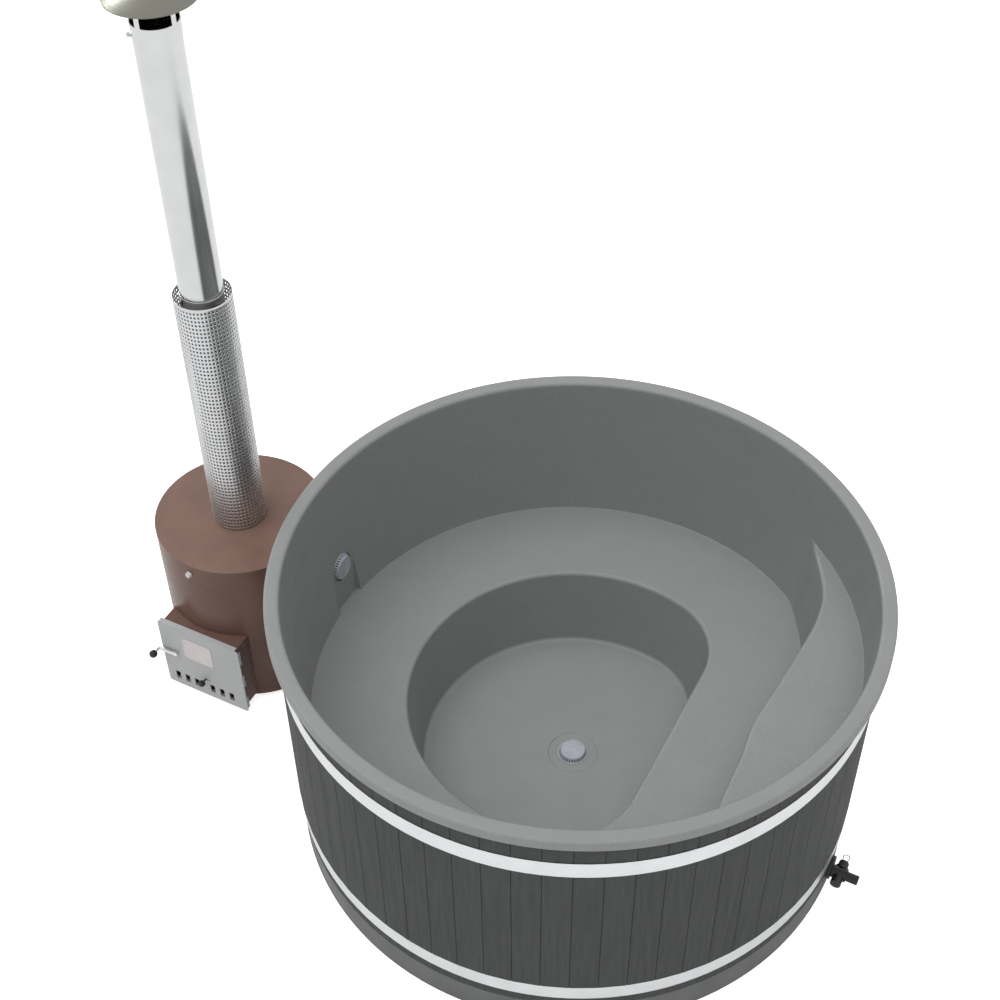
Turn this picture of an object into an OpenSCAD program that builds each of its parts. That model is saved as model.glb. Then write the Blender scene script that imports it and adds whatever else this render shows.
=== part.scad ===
// Round hot tub with a moulded liner, dark stave cladding, two steel bands,
// and an outside wood stove joined to it by two short hoses.
// The origin is the centre of the tub's foot, +Z is up and the stove door looks to -Y.

/* [Tub] */
// Diameter over the rim
rim_d = 1800; // [1500:10:2100]
// Height of the rim above the ground
tub_h = 950; // [900:5:1050]
// Width of the flat rim
rim_w = 45; // [40:1:55]
// Depth of the turned-down lip of the rim
lip_h = 34; // [26:1:40]
// Rounding of the outer edge of the rim
rim_edge_r = 9; // [5:1:12]
// Wall thickness of the moulded liner
liner_t = 6; // [4:0.5:8]
// How far the wall leans in between the rim and the seat
wall_lean = 43; // [36:1:50]
// Bow of the leaning wall, where 1 is straight
wall_bow = 1.5; // [1:0.1:2]
// Height of the seat
seat_z = 432; // [400:2:460]
// Height of the foot well floor
floor_z = 145; // [140:1:160]
// Width of the seat, from the wall to the foot well
seat_w = 297; // [285:1:320]
// How far the foot well's wall leans in down to its floor
well_lean = 37; // [25:1:45]
// Distance from the well's centre to its straight side, at the seat
well_side = 316; // [290:2:330]
// Direction that the straight side faces
well_side_deg = -24; // [-40:1:-10]
// Rounding of the well's two corners
well_corner_r = 235; // [150:5:235]
// How far the well's centre lies in front of the tub's
well_shift = 15; // [5:1:25]
// Height of the entry step
step_z = 702; // [660:2:740]
// Recess round the floor drain, radius
recess_r = 79; // [60:1:85]
// Recess round the floor drain, depth
recess_h = 3; // [2:0.5:4]

/* [Cladding] */
// How far the rim stands out past the staves
rim_over = 23; // [22:0.5:25]
// Thickness of a stave
stave_t = 15; // [12:0.5:16]
// Gap between two staves
stave_gap = 0.8; // [0.6:0.1:1.6]
// Bevel on the outer edges of a stave
stave_bevel = 1.6; // [1:0.1:3]
// Half the thickness of the tongue
tongue_half = 1.8; // [1:0.1:2.4]
// Length of the tongue
tongue_l = 4; // [2:0.5:6]
// Depth of the rebate that takes the lower band
rebate = 4; // [2:0.5:5]
// Height of the foot of the staves
stave_z = 106; // [100:1:120]
// Width of a steel band
band_w = 60; // [40:1:80]
// Thickness of a steel band
band_t = 1.5; // [1:0.1:2.5]
// Distance of the upper band's lower edge below the middle between the hot inlet and the rim
upper_band_low = 4; // [0:1:40]
// Height of the lower edge of the lower band
lower_band_z = 145; // [135:1:160]
// Direction of the band clamps, behind the tub
clamp_deg = 84; // [60:1:100]
// Distance between the two ears of a band clamp
clamp_gap = 44; // [36:1:60]
// Height of a clamp ear above its band
ear_h = 22; // [18:1:30]
// Radius of a clamp bolt
bolt_r = 4; // [3:0.5:5]

/* [Base] */
// How far the base ring stands back from the staves
base_in = 6; // [4:0.5:8]
// Wall thickness of the base ring
base_t = 10; // [8:0.5:14]
// Width of the ledge that carries the staves
ledge_w = 26; // [20:1:32]
// Thickness of that ledge
ledge_h = 10; // [6:1:14]
// Height of the floor bearers
bearer_h = 36; // [30:1:38]
// Width of a floor bearer
bearer_w = 70; // [50:2:90]
// Distance between two floor bearers
bearer_step = 280; // [240:5:300]
// Thickness of the base board
board_t = 15; // [12:0.5:16]
// Thickness of a seat rib
rib_t = 18; // [12:1:24]
// Distance of the seat ribs from the foot well's edge
rib_back = 95; // [85:5:120]
// Side of a step post
post_w = 48; // [40:2:60]
// Distance of a step post's middle from the wall's foot
post_back = 47; // [43:1:55]
// Room left round a pipe in the floor foam
foam_gap = 6; // [3:1:10]

/* [Water fittings] */
// Radius of a strainer at its foot
strainer_r = 47.5; // [44:0.5:50]
// Radius of a strainer's flat top
strainer_top_r = 38.5; // [35:0.5:40]
// Height of a strainer
strainer_h = 17; // [15:0.5:20]
// Wall of a strainer
strainer_t = 2; // [1.5:0.25:2.5]
// Width of a strainer slot
slot_w = 3.6; // [2:0.2:4.4]
// Thickness of a fitting's flange
flange_t = 3; // [2:0.5:4]
// Outer radius of a pipe
pipe_r = 17; // [14:0.5:17]
// Wall of a pipe
pipe_t = 3; // [2:0.5:4]
// Radius of a pipe's bends, at its axis
bend_r = 34; // [30:1:36]
// Wall of a fitting's sleeve
sleeve_t = 3; // [2.5:0.5:4]
// Length of a fitting's sleeve behind the liner
sleeve_l = 30; // [28:1:34]
// Across-flats radius of a fitting's nut
nut_r = 30; // [28:0.5:34]
// Thickness of a fitting's nut
nut_h = 12; // [8:1:14]
// Height of the hot water inlet in the wall
hot_z = 590; // [575:1:600]
// Direction of the hot water inlet
hot_deg = 155.6; // [155:0.1:156.4]
// Width of the hollow in the wall for the hot water inlet
pocket_w = 120; // [110:1:130]
// Distance of the hollow's flat back from the staves
pocket_gap = 24; // [20:1:27]
// Height of the cold water outlet in the well
cold_z = 255; // [245:1:300]
// Direction of the strainer of the cold water outlet
cold_deg = 225; // [222:1:230]
// Direction in which the cold pipe leaves the tub
cold_exit_deg = 151.3; // [150.8:0.1:151.6]
// Wall of a hose
hose_t = 5; // [3:0.5:6]
// Width of a hose clamp
hose_clamp_w = 12; // [8:1:14]

/* [Drain valve] */
// Direction of the drain valve
drain_deg = -24.5; // [-26:0.5:-23]
// Height of the drain pipe's axis
drain_z = 72; // [71:0.5:74]
// Radius of the wall flange
valve_flange_r = 37; // [32:1:38]
// Thickness of the wall flange
valve_flange_t = 9; // [6:0.5:10]
// How far the wall flange's centre lies above the pipe
valve_flange_rise = 14; // [8:1:15]
// Radius of the valve barrel
barrel_r = 16.5; // [16:0.25:18]
// Length of the barrel's blind end, from the pipe's axis
barrel_l = 43; // [30:1:50]
// Radius of the spout
spout_r = 15; // [13:0.5:15.5]
// Length of the spout, past its shoulder
spout_l = 36; // [30:1:60]
// Radius of the spout's bore
spout_bore_r = 10.5; // [8:0.5:10.5]
// Radius of the valve's turning plug
plug_r = 12; // [11.5:0.25:12.5]
// Radius of the bore through the plug
plug_bore_r = 7.5; // [6:0.25:8]
// Length of the valve knob
knob_l = 21.5; // [18:0.5:40]
// Radius of the wire of the pull loop
wire_r = 1.1; // [0.8:0.1:1.6]

/* [Stove] */
// Gap between the staves and the stove
stove_gap = 85; // [80:1:160]
// Direction of the stove from the tub
stove_dir = 154.15; // [154:0.05:154.3]
// Radius of the stove
stove_r = 277; // [274:1:280]
// How far the stove's top lies above the hot pipe's axis
stove_over = 35; // [33:1:90]
// Height of the stove's feet
foot_h = 25; // [20:1:32]
// Radius of a stove foot
foot_r = 22; // [16:1:30]
// Thickness of the stove's sheet metal
sheet_t = 3; // [2:0.5:4]
// Gap of the water jacket
jacket_gap = 44; // [40:1:50]
// Distance of the fire box roof from the stove's top
roof_gap = 65; // [60:1:105]
// Height of the fire box floor
fire_floor_z = 42; // [40:1:46]
// Height of the grate
grate_z = 62; // [58:1:70]
// Direction that the stove door looks to
door_deg = -113.7; // [-120:0.5:-108]

/* [Door] */
// How far the neck stands out past the stove's round side
neck_out = 30; // [23:1:53]
// Width of the neck
neck_w = 290; // [270:2:292]
// Height of the neck's underside
neck_z0 = 40; // [39:1:41]
// Height of the neck's top
neck_z1 = 327; // [300:1:330]
// Thickness of the door, with its folded edges
door_t = 18; // [17:0.5:22]
// Width of the door
door_w = 312; // [308:1:324]
// Height of the door's lower edge
door_z0 = 36; // [34:1:40]
// Height of the door's upper edge
door_z1 = 337; // [334:1:345]
// Rounding of the door's corners
door_corner_r = 9; // [4:1:12]
// Width of an air slot
air_w = 19; // [14:0.5:19]
// Height of an air slot
air_h = 38; // [30:1:40]
// Height of the air slots' centres
air_z = 81; // [81:1:84]
// Distance between two air slots
air_step = 38.5; // [37:0.5:40]
// Distance from the middle of the row to its first slot
air_first = 31.5; // [31:0.5:34]
// Travel of the air slide
air_travel = 19.2; // [19:0.1:19.5]
// Width of the blank name plate
plate_w = 115; // [90:1:120]
// Height of the blank name plate
plate_h = 98; // [80:1:100]
// Height of the name plate's centre
plate_z = 248; // [245:1:252]
// Height of the handle's pivot
handle_z = 207; // [190:1:215]
// Distance of the handle's pivot from the door's middle
handle_y = 99; // [95:1:102]
// Length of the handle
handle_l = 68; // [60:1:80]
// Radius of the handle's ball
ball_r = 14; // [10:0.5:15]
// Radius of the air slide's ball
small_ball_r = 12; // [8:0.5:13]
// Radius of the hinge barrels
hinge_r = 6.5; // [5.5:0.25:7]
// Radius of the hinge pins
hinge_pin_r = 3; // [2.5:0.25:3.5]
// Half the opening of the hinge leaves
hinge_leaf_t = 3; // [2:0.5:4]

/* [Chimney] */
// Outer radius of the flue
flue_r = 65; // [58:0.5:70]
// Sheet thickness of the flue
flue_t = 1.2; // [1:0.1:2]
// Height of the joint between the two flue pipes
joint_z = 1524; // [1400:5:1600]
// Overlap of the two flue pipes
joint_l = 60; // [40:5:80]
// Height of the top of the flue
flue_top_z = 2372; // [2200:5:2500]
// Outer radius of the heat shield
shield_r = 87.5; // [84:0.5:95]
// Sheet thickness of the heat shield
shield_t = 1; // [0.8:0.1:1.5]
// Height of the heat shield's upper edge
shield_top_z = 1516; // [1390:5:1590]
// Gap between the flue and the hat
hat_gap = 62; // [50:1:80]
// Radius of the hat
hat_r = 122; // [110:1:135]
// Rise of the hat
hat_h = 42; // [30:1:60]
// Width of a hat strap
strap_w = 17; // [12:1:24]
// Height of the collar that the straps rise from
collar_h = 49; // [45:1:60]

/* [Hidden] */
$fn = 96;

// One overrun for all cuts, and one clearance for all fits
over = 1;
fit = 0.3;
// Running clearance of the curved moving faces
run = 0.35;
// Gap where two faces butt together
weld_gap = 0.05;

// Radii and heights of the liner
rim_r = rim_d / 2;
rim_in_r = rim_r - rim_w;
seat_r = rim_in_r - wall_lean;
well_r = seat_r - seat_w;
well_floor_r = well_r - well_lean;
wall_n = 8;
function wall_r(z) = rim_in_r - wall_lean * pow((tub_h - z) / (tub_h - seat_z), wall_bow);
// The wall's line between two heights, moved outward by a distance
function wall_line(low, high, out) = [for (k = [0:wall_n])
    let (z = low + (high - low) * k / wall_n) [wall_r(z) + out, z]];
function well_r_at(z) = well_floor_r + (well_r - well_floor_r) * (z - floor_z) / (seat_z - floor_z);

// Edge of the step, as shares of the wall's radius at the seat
step_edge_shares = [[0.781, 0.653], [0.828, 0.518], [0.852, 0.432], [0.868, 0.346], [0.872, 0.272],
    [0.867, 0.21], [0.853, 0.157], [0.834, 0.101], [0.81, 0.048], [0.757, -0.054],
    [0.673, -0.21], [0.628, -0.288], [0.59, -0.363], [0.565, -0.435], [0.546, -0.495],
    [0.505, -0.594], [0.468, -0.693], [0.396, -0.92]];
step_far_share = 1.3;
// How much the step's edge widens between the seat and the step
step_draft_share = 1.05;

// Staves
stave_r = rim_r - rim_over;
stave_n = 68;
stave_half = 180 / stave_n;
stave_turn = 0.8;
stave_face = stave_r * cos(stave_half);
stave_in_r = stave_face - stave_t;
stave_top_z = tub_h - liner_t - fit;
groove_play = 0.6;
upper_band_z = (hot_z + tub_h) / 2 - upper_band_low;
function stave_side(x) = x * tan(stave_half) - stave_gap / 2;

// Base
base_r = stave_r - base_in;
board_z = bearer_h;
deck_z = board_z + board_t;
board_r = base_r - base_t - fit;
bearer_n = 5;
rib_degs = [70, 105, 140, 180, 205, 250, 285];
rib_in_r = well_r + rib_back;
rib_out_r = seat_r - liner_t;
post_r = seat_r - post_back;
post_degs = [5, -13, -42];

// Fittings: the sleeve behind the liner takes the pipe's end
sleeve_r = pipe_r + fit + sleeve_t;
socket_l = 15;
slot_n = 32;
slot_foot = 4;
rib_n = 5;
strainer_rib_w = 3;
strainer_rib_h = 1;
strainer_foot_h = 2.5;
hole_play = 0.5;
hot_r = stave_in_r - pocket_gap;
cold_r = well_r_at(cold_z);
// The cold pipe passes round the foot well along a straight line at this distance
cold_gap = 18.8;
cold_pass_r = cold_r + liner_t + pipe_r + cold_gap;
cold_pass_deg = 191.6;
cold_turn_r = cold_pass_r / cos(cold_deg - cold_pass_deg);
cold_exit_r = cold_pass_r / cos(cold_pass_deg - cold_exit_deg);
stub_l = 30;
hose_in = 5;
hose_out = 9;
stove_dist = stave_r + stove_gap + stove_r;
// Where the hot and the cold line meet the stove, measured along each line
function stove_side_x(deg) = stove_dist * cos(deg - stove_dir)
    - sqrt(pow(stove_r, 2) - pow(stove_dist * sin(deg - stove_dir), 2));
hot_run = stove_side_x(hot_deg) - hot_r;
tub_stub_r = stave_r + stub_l;
hot_stub = tub_stub_r - hot_r;
grommet_r = 27;
grommet_t = 5;
clamp_play = 0.2;
clamp_t = 1.2;
screw_r = 3.5;
screw_l = 16;

// Drain valve, measured outward along the pipe
valve_stand = 1;
valve_neck_l = 8;
valve_seat_r = stave_face - rebate + valve_stand;
valve_face_r = valve_seat_r + valve_flange_t;
barrel_x = valve_face_r + barrel_r + valve_neck_l;
barrel_far = pipe_r + sleeve_t + valve_stand;
barrel_cup = 4;
collar_step = 4.5;
collar_r = barrel_r + collar_step;
collar_w = 8;
spout_step = collar_step + valve_stand;
knob_step = 1;
knob_r = barrel_r - knob_step;
knob_rib_n = 12;
knob_rib_r = 1.2;
knob_gap = run;
knob_socket = 13;
loop_half = 7;
loop_leg = 5;
loop_sunk = 5;

// Stove
stove_x = stove_dist * cos(stove_dir);
stove_y = stove_dist * sin(stove_dir);
stove_top_z = hot_z + stove_over;
fire_top_z = stove_top_z - roof_gap;
fire_r = stove_r - sheet_t - jacket_gap;
fire_t = 4;
foot_ring_r = 200;
foot_n = 4;
stub_play = 0.3;
boss_r = 11;
boss_h = 4;
hex_r = 9.5;
hex_h = 7;
thread_r = 7;
vent_deg = -116.5;
vent_drop = 41;
vent_z = stove_top_z - vent_drop;
grate_play = 3.6;
grate_r = fire_r - fire_t - grate_play;
grate_t = 8;
grate_bar = 11;
grate_gap = 13;
grate_rim = 16;
grate_leg_r = 8;
grate_leg_n = 4;

// Door, measured outward from the stove's axis along the door's direction
neck_l = stove_r + neck_out;
door_stand = 13;
door_x1 = neck_l + door_stand + sheet_t;
door_x0 = door_x1 - door_t;
sheet_x = door_x1 - sheet_t;
hinge_out = 6;
hinge_side = 12;
hinge_end = 14;
hinge_x = neck_l + hinge_out;
hinge_y = neck_w / 2 + hinge_side;
hinge_n = 5;
leaf_l = 22;
hinge_z0 = door_z0 + hinge_end;
hinge_z1 = door_z1 - hinge_end;
hinge_step = (hinge_z1 - hinge_z0) / hinge_n;
pin_head_r = 4.5;
pin_head_h = 2;
air_mid = -5;
slide_t = 3;
slide_ball_z = 120;
slide_ball_y = 3;
slide_ball_out = 22;
ball_stem_r = 3;
slide_edge = 4;
slide_z0 = air_z - air_h / 2 - slide_edge;
slide_z1 = slide_ball_z + 2 * ball_stem_r;
slide_far = air_first + 2 * air_step + air_w / 2 + over;
seal_w = 9;
seal_in = 3;
guide_half = neck_w / 2 - seal_in - seal_w - over;
guide_h = 4;
guide_lip = 6;
guide_t = 2;
plate_t = 1;
plate_mid = -8;
rivet_r = 2;
rivet_h = 0.8;
rivet_in = 5;
handle_t = 8;
handle_h = 13;
handle_boss_r = 9;
handle_shaft_r = 5;
handle_rise = 3;
ball_out = 40;
washer_t = 4;
tongue_play = 2;
tongue_back = 20;
tongue_reach = neck_w / 2 - sheet_t - handle_y - tongue_play;
tongue_t = 6;
tongue_h = 16;
tongue_x = neck_l - tongue_back;

// Chimney
lower_flue_r = flue_r - flue_t - fit;
flue_floor_z = fire_top_z - fire_t;
bead_r = 1;
clip_n = 3;
clip_w = 18;
clip_h = 26;
clip_t = 1.5;
clip_low = 40;
clip_high = 36;
clip_zs = [stove_top_z + clip_low, shield_top_z - clip_high];
hat_z = flue_top_z + hat_gap;
hat_t = 1.2;
hat_rim_r = 2;
strap_n = 4;
strap_deg = -118;
cap_t = 1;
cap_r = flue_r + clamp_play + cap_t;
cap_bolt_deg = -163;
cap_bolt_drop = 37;
cap_bolt_z = flue_top_z - cap_bolt_drop;
cap_slit = 2;
cap_bolt_r = 2.5;
cap_bolt_l = 18;
ear_t = 3;
ear_w = 11;

// Carries its children to the line of the hot, the cold or the drain pipe.
// Along each line +Z leads outward.
module hot_line() {
    rotate([0, 0, hot_deg]) translate([hot_r, 0, hot_z]) rotate([0, 90, 0]) children();
}
module cold_line() {
    translate([0, -well_shift, cold_z]) rotate([0, 0, cold_deg]) translate([cold_r, 0, 0])
        rotate([0, 90 + well_deg, 0]) children();
}
module cold_exit() {
    rotate([0, 0, cold_exit_deg]) translate([0, 0, cold_z]) rotate([0, 90, 0]) children();
}
module drain_line() {
    rotate([0, 0, drain_deg]) translate([0, 0, drain_z]) rotate([0, 90, 0]) children();
}
module at_stove() {
    translate([stove_x, stove_y, 0]) children();
}
module at_door() {
    at_stove() rotate([0, 0, door_deg]) children();
}
well_deg = atan((well_r - well_floor_r) / (seat_z - floor_z));

module tube(r_out, r_in, h) {
    difference() {
        cylinder(h = h, r = r_out);
        translate([0, 0, -over]) cylinder(h = h + 2 * over, r = r_in);
    }
}

// Tub

module well_outline(r, side) {
    offset(r = well_corner_r) offset(delta = -well_corner_r) intersection() {
        circle(r = r);
        rotate(well_side_deg) translate([side - 2 * r, -r]) square(2 * r);
    }
}

module well_form(t) {
    translate([0, -well_shift, 0]) hull() {
        translate([0, 0, floor_z - t]) linear_extrude(over)
            well_outline(well_floor_r + t, well_side - well_lean + t);
        translate([0, 0, seat_z]) linear_extrude(over) well_outline(well_r + t, well_side + t);
    }
}

module step_outline() {
    edge = [for (p = step_edge_shares) p * seat_r];
    far = step_far_share * seat_r;
    last = len(edge) - 1;
    polygon(concat(edge, [[far, edge[last][1]], [far, edge[0][1]]]));
}

module step_form(t) {
    translate([0, 0, seat_z - t - over]) linear_extrude(step_z - seat_z + over, scale = step_draft_share)
        offset(delta = -t) step_outline();
}

// The hollow in the wall for the hot inlet, with an arched top and a flat back
module pocket_form(t) {
    rotate([0, 0, hot_deg]) translate([seat_r - pocket_w, 0, hot_z]) rotate([90, 0, 90])
        linear_extrude(hot_r + t - seat_r + pocket_w) {
            circle(r = pocket_w / 2 + t);
            translate([-pocket_w / 2 - t, seat_z - hot_z - t])
                square([pocket_w + 2 * t, hot_z - seat_z + t]);
        }
}

function rim_arc(r) = [for (a = [0:15:90]) [rim_r - r + r * cos(a), tub_h - r + r * sin(a)]];

module rim_form() {
    rotate_extrude() polygon(concat(
        [[rim_in_r - liner_t, tub_h - 2 * liner_t], [rim_in_r + liner_t, tub_h - 2 * liner_t],
            [rim_in_r + liner_t, tub_h - liner_t], [rim_r - liner_t, tub_h - liner_t],
            [rim_r - liner_t, tub_h - lip_h], [rim_r, tub_h - lip_h]],
        rim_arc(rim_edge_r),
        [[rim_in_r - liner_t, tub_h]]));
}

module tub_liner() {
    color("#7c7f7e") difference() {
        union() {
            difference() {
                rotate_extrude() polygon(concat([[0, tub_h - liner_t], [0, seat_z - liner_t]],
                    wall_line(seat_z - liner_t, tub_h - liner_t, liner_t)));
                step_form(liner_t);
            }
            pocket_form(liner_t);
            intersection() {
                well_form(liner_t);
                cylinder(h = seat_z, r = seat_r);
            }
            rim_form();
        }
        difference() {
            rotate_extrude() polygon(concat([[0, seat_z]], wall_line(seat_z, tub_h, 0),
                [[rim_in_r, tub_h + over], [0, tub_h + over]]));
            step_form(0);
        }
        pocket_form(0);
        well_form(0);
        at_floor_drain() {
            translate([0, 0, -over]) cylinder(h = recess_h + over, r = recess_r);
            translate([0, 0, -liner_t]) cylinder(h = 3 * liner_t, r = sleeve_r + fit);
        }
        hot_line() fitting_seat();
        cold_line() fitting_seat();
    }
}

// The flat and the hole in the liner for a fitting
module fitting_seat() {
    translate([0, 0, -2 * liner_t]) {
        cylinder(h = 2 * liner_t, r = strainer_r + fit);
        cylinder(h = 4 * liner_t, r = sleeve_r + fit);
    }
}

module stave_section() {
    mid = stave_face - stave_t * 0.55;
    in = stave_in_r;
    tip = tongue_l;
    gh = tongue_half + groove_play;
    depth = tongue_l + groove_play;
    b = stave_bevel;
    polygon([[stave_face, stave_side(stave_face) - b], [stave_face - b, stave_side(stave_face - b)],
        [mid + tongue_half, stave_side(mid + tongue_half)],
        [mid + tongue_half, stave_side(mid + tongue_half) + tip],
        [mid - tongue_half, stave_side(mid - tongue_half) + tip],
        [mid - tongue_half, stave_side(mid - tongue_half)],
        [in, stave_side(in)], [in, -stave_side(in)],
        [mid - gh, -stave_side(mid - gh)], [mid - gh, -stave_side(mid - gh) + depth],
        [mid + gh, -stave_side(mid + gh) + depth], [mid + gh, -stave_side(mid + gh)],
        [stave_face - b, -stave_side(stave_face - b)], [stave_face, -stave_side(stave_face) + b]]);
}

module stave() {
    difference() {
        translate([0, 0, stave_z]) linear_extrude(stave_top_z - stave_z) stave_section();
        translate([stave_face - rebate, -stave_r, stave_z - over])
            cube([stave_r, 2 * stave_r, lower_band_z + band_w + fit - stave_z + over]);
    }
}

module stave_quarter(k) {
    quarter = stave_n / 4;
    color("#535553") for (i = [0:quarter - 1])
        rotate([0, 0, stave_turn + (k * quarter + i + 0.5) * 2 * stave_half]) stave();
}

module staves_back() {
    stave_quarter(0);
}

module staves_left() {
    difference() {
        stave_quarter(1);
        hot_line() cylinder(h = hot_run, r = sleeve_r + hole_play);
        cold_exit() cylinder(h = tub_stub_r, r = pipe_r + hole_play);
    }
}

module staves_front() {
    stave_quarter(2);
}

module staves_right() {
    stave_quarter(3);
}

// A band is an open ring with an ear turned out at each end
module band(r, z) {
    gap_deg = asin(clamp_gap / 2 / r);
    color("#d8dadc") translate([0, 0, z]) rotate([0, 0, clamp_deg]) {
        rotate([0, 0, gap_deg]) rotate_extrude(angle = 360 - 2 * gap_deg)
            translate([r, 0]) square([band_t, band_w]);
        for (s = [-1, 1]) difference() {
            translate([r * cos(gap_deg), s * (clamp_gap / 2 + ear_t / 2) - ear_t / 2, band_w / 4])
                cube([ear_h + band_t, ear_t, band_w / 2]);
            translate([r + band_t + ear_h / 2, s * clamp_gap / 2 - 2 * ear_t, band_w / 2])
                rotate([-90, 0, 0]) cylinder(h = 4 * ear_t, r = bolt_r + fit);
        }
    }
}

upper_band_r = stave_r + fit;
lower_band_r = stave_r - rebate + fit;

module upper_band() {
    band(upper_band_r, upper_band_z);
}

module lower_band() {
    band(lower_band_r, lower_band_z);
}

// Carries its children to the bolt of the band with radius r at height z, along +Z
module at_clamp(r, z) {
    translate([0, 0, z + band_w / 2]) rotate([0, 0, clamp_deg])
        translate([r + band_t + ear_h / 2, -clamp_gap / 2 - ear_t, 0]) rotate([-90, 0, 0]) children();
}

module band_bolts() {
    color("#c4c6c8") for (b = [[upper_band_r, upper_band_z], [lower_band_r, lower_band_z]])
        at_clamp(b[0], b[1]) {
            translate([0, 0, -1.4 * bolt_r]) cylinder(h = 1.4 * bolt_r, r = 2 * bolt_r, $fn = 6);
            translate([0, 0, -fit]) cylinder(h = clamp_gap + 2 * ear_t + 3 * bolt_r, r = bolt_r);
        }
}

module band_nuts() {
    color("#c4c6c8") for (b = [[upper_band_r, upper_band_z], [lower_band_r, lower_band_z]])
        at_clamp(b[0], b[1]) translate([0, 0, clamp_gap + 2 * ear_t]) difference() {
            cylinder(h = 1.6 * bolt_r, r = 2 * bolt_r, $fn = 6);
            translate([0, 0, -over]) cylinder(h = 4 * bolt_r, r = bolt_r);
        }
}

module base_ring() {
    color("#6f7271") difference() {
        rotate_extrude() polygon([[base_r - base_t, 0], [base_r, 0], [base_r, stave_z],
            [base_r - ledge_w, stave_z], [base_r - ledge_w, stave_z - ledge_h],
            [base_r - base_t, stave_z - ledge_h]]);
        drain_line() cylinder(h = base_r + ledge_w, r = pipe_r + hole_play);
    }
}

module base_board() {
    color("#a98f6a") translate([0, 0, board_z]) cylinder(h = board_t, r = board_r);
}

module floor_bearers() {
    color("#8f7a58") for (i = [0:bearer_n - 1]) {
        y = (i - (bearer_n - 1) / 2) * bearer_step;
        far = abs(y) + bearer_w / 2;
        half = sqrt(pow(board_r, 2) - pow(far, 2)) - fit;
        translate([-half, y - bearer_w / 2, 0]) cube([2 * half, bearer_w, bearer_h]);
    }
}

module seat_ribs() {
    color("#a98f6a") for (a = rib_degs)
        rotate([0, 0, a]) translate([rib_in_r, -rib_t / 2, deck_z])
            cube([rib_out_r - rib_in_r, rib_t, seat_z - liner_t - weld_gap - deck_z]);
}

module step_posts() {
    color("#8f7a58") for (a = post_degs)
        rotate([0, 0, a]) translate([post_r - post_w / 2, -post_w / 2, deck_z])
            cube([post_w, post_w, step_z - liner_t - weld_gap - deck_z]);
}

module wall_foam() {
    low = seat_z + liner_t;
    high = upper_band_z + band_w / 2;
    out = stave_in_r - fit;
    color("#d9cfae") difference() {
        rotate_extrude() polygon(concat(wall_line(low, high, liner_t + fit), [[out, high], [out, low]]));
        pocket_form(liner_t + fit);
        hot_line() cylinder(h = hot_run, r = nut_r + foam_gap);
    }
}

module floor_foam() {
    foam_r = well_side - well_lean - foam_gap;
    color("#d9cfae") difference() {
        translate([0, 0, deck_z]) cylinder(h = floor_z - liner_t - deck_z, r = foam_r);
        translate([0, -well_shift, deck_z - over]) cylinder(h = floor_z, r = nut_r + foam_gap);
        rotate([0, 0, drain_deg]) translate([0, -pipe_r - foam_gap - well_shift, deck_z - over])
            cube([well_r, 2 * (pipe_r + foam_gap) + well_shift, floor_z]);
    }
}

// Water fittings. Along a fitting's own axis +Z leads out of the tub, and 0 is the liner's face.

module fitting_body(sunk) {
    difference() {
        union() {
            translate([0, 0, sunk - flange_t]) cylinder(h = flange_t, r = strainer_top_r - strainer_t);
            translate([0, 0, sunk - flange_t])
                cylinder(h = flange_t - sunk + liner_t + sleeve_l, r = sleeve_r);
        }
        translate([0, 0, -flange_t - over])
            cylinder(h = 2 * flange_t + liner_t + sleeve_l, r = pipe_r - pipe_t);
        translate([0, 0, liner_t + sleeve_l - socket_l])
            cylinder(h = socket_l + over, r = pipe_r + fit / 2);
    }
}

module at_floor_drain() {
    translate([0, -well_shift, floor_z]) rotate([180, 0, 0]) children();
}

module fitting_bodies() {
    color("#b9bac4") {
        at_floor_drain() fitting_body(recess_h);
        hot_line() fitting_body(0);
        cold_line() fitting_body(0);
    }
}

module fitting_nut() {
    translate([0, 0, liner_t + 2 * fit]) difference() {
        cylinder(h = nut_h, r = nut_r, $fn = 6);
        translate([0, 0, -over]) cylinder(h = nut_h + 2 * over, r = sleeve_r);
    }
}

module fitting_nuts() {
    color("#b9bac4") {
        at_floor_drain() fitting_nut();
        hot_line() fitting_nut();
        cold_line() fitting_nut();
    }
}

// A slotted cap that stands over the fitting's flange
module strainer(sunk) {
    rise = strainer_foot_h;
    color("#a8aab6") translate([0, 0, sunk]) rotate([180, 0, 0]) {
        difference() {
            union() {
                cylinder(h = rise, r = strainer_r);
                translate([0, 0, rise]) cylinder(h = strainer_h - rise,
                    r1 = strainer_r - strainer_t, r2 = strainer_top_r);
            }
            translate([0, 0, -over]) cylinder(h = rise + over + fit, r = strainer_r - 2 * strainer_t);
            translate([0, 0, rise]) cylinder(h = strainer_h - rise - strainer_t,
                r1 = strainer_r - 2 * strainer_t, r2 = strainer_top_r - strainer_t);
            for (i = [0:slot_n - 1]) rotate([0, 0, i * 360 / slot_n])
                translate([strainer_top_r - 4 * strainer_t, -slot_w / 2, slot_foot])
                    cube([strainer_r, slot_w, strainer_h - slot_foot - 2 * strainer_t]);
        }
        translate([0, 0, strainer_h]) tube(strainer_top_r, strainer_top_r - strainer_t, strainer_rib_h);
        for (i = [0:rib_n - 1]) rotate([0, 0, i * 360 / rib_n])
            translate([strainer_top_r / 4, -strainer_rib_w / 2, strainer_h])
                cube([strainer_top_r / 2, strainer_rib_w, strainer_rib_h]);
    }
}

module floor_drain_strainer() {
    at_floor_drain() strainer(recess_h);
}

module hot_inlet_strainer() {
    hot_line() strainer(0);
}

module cold_outlet_strainer() {
    cold_line() strainer(0);
}

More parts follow.
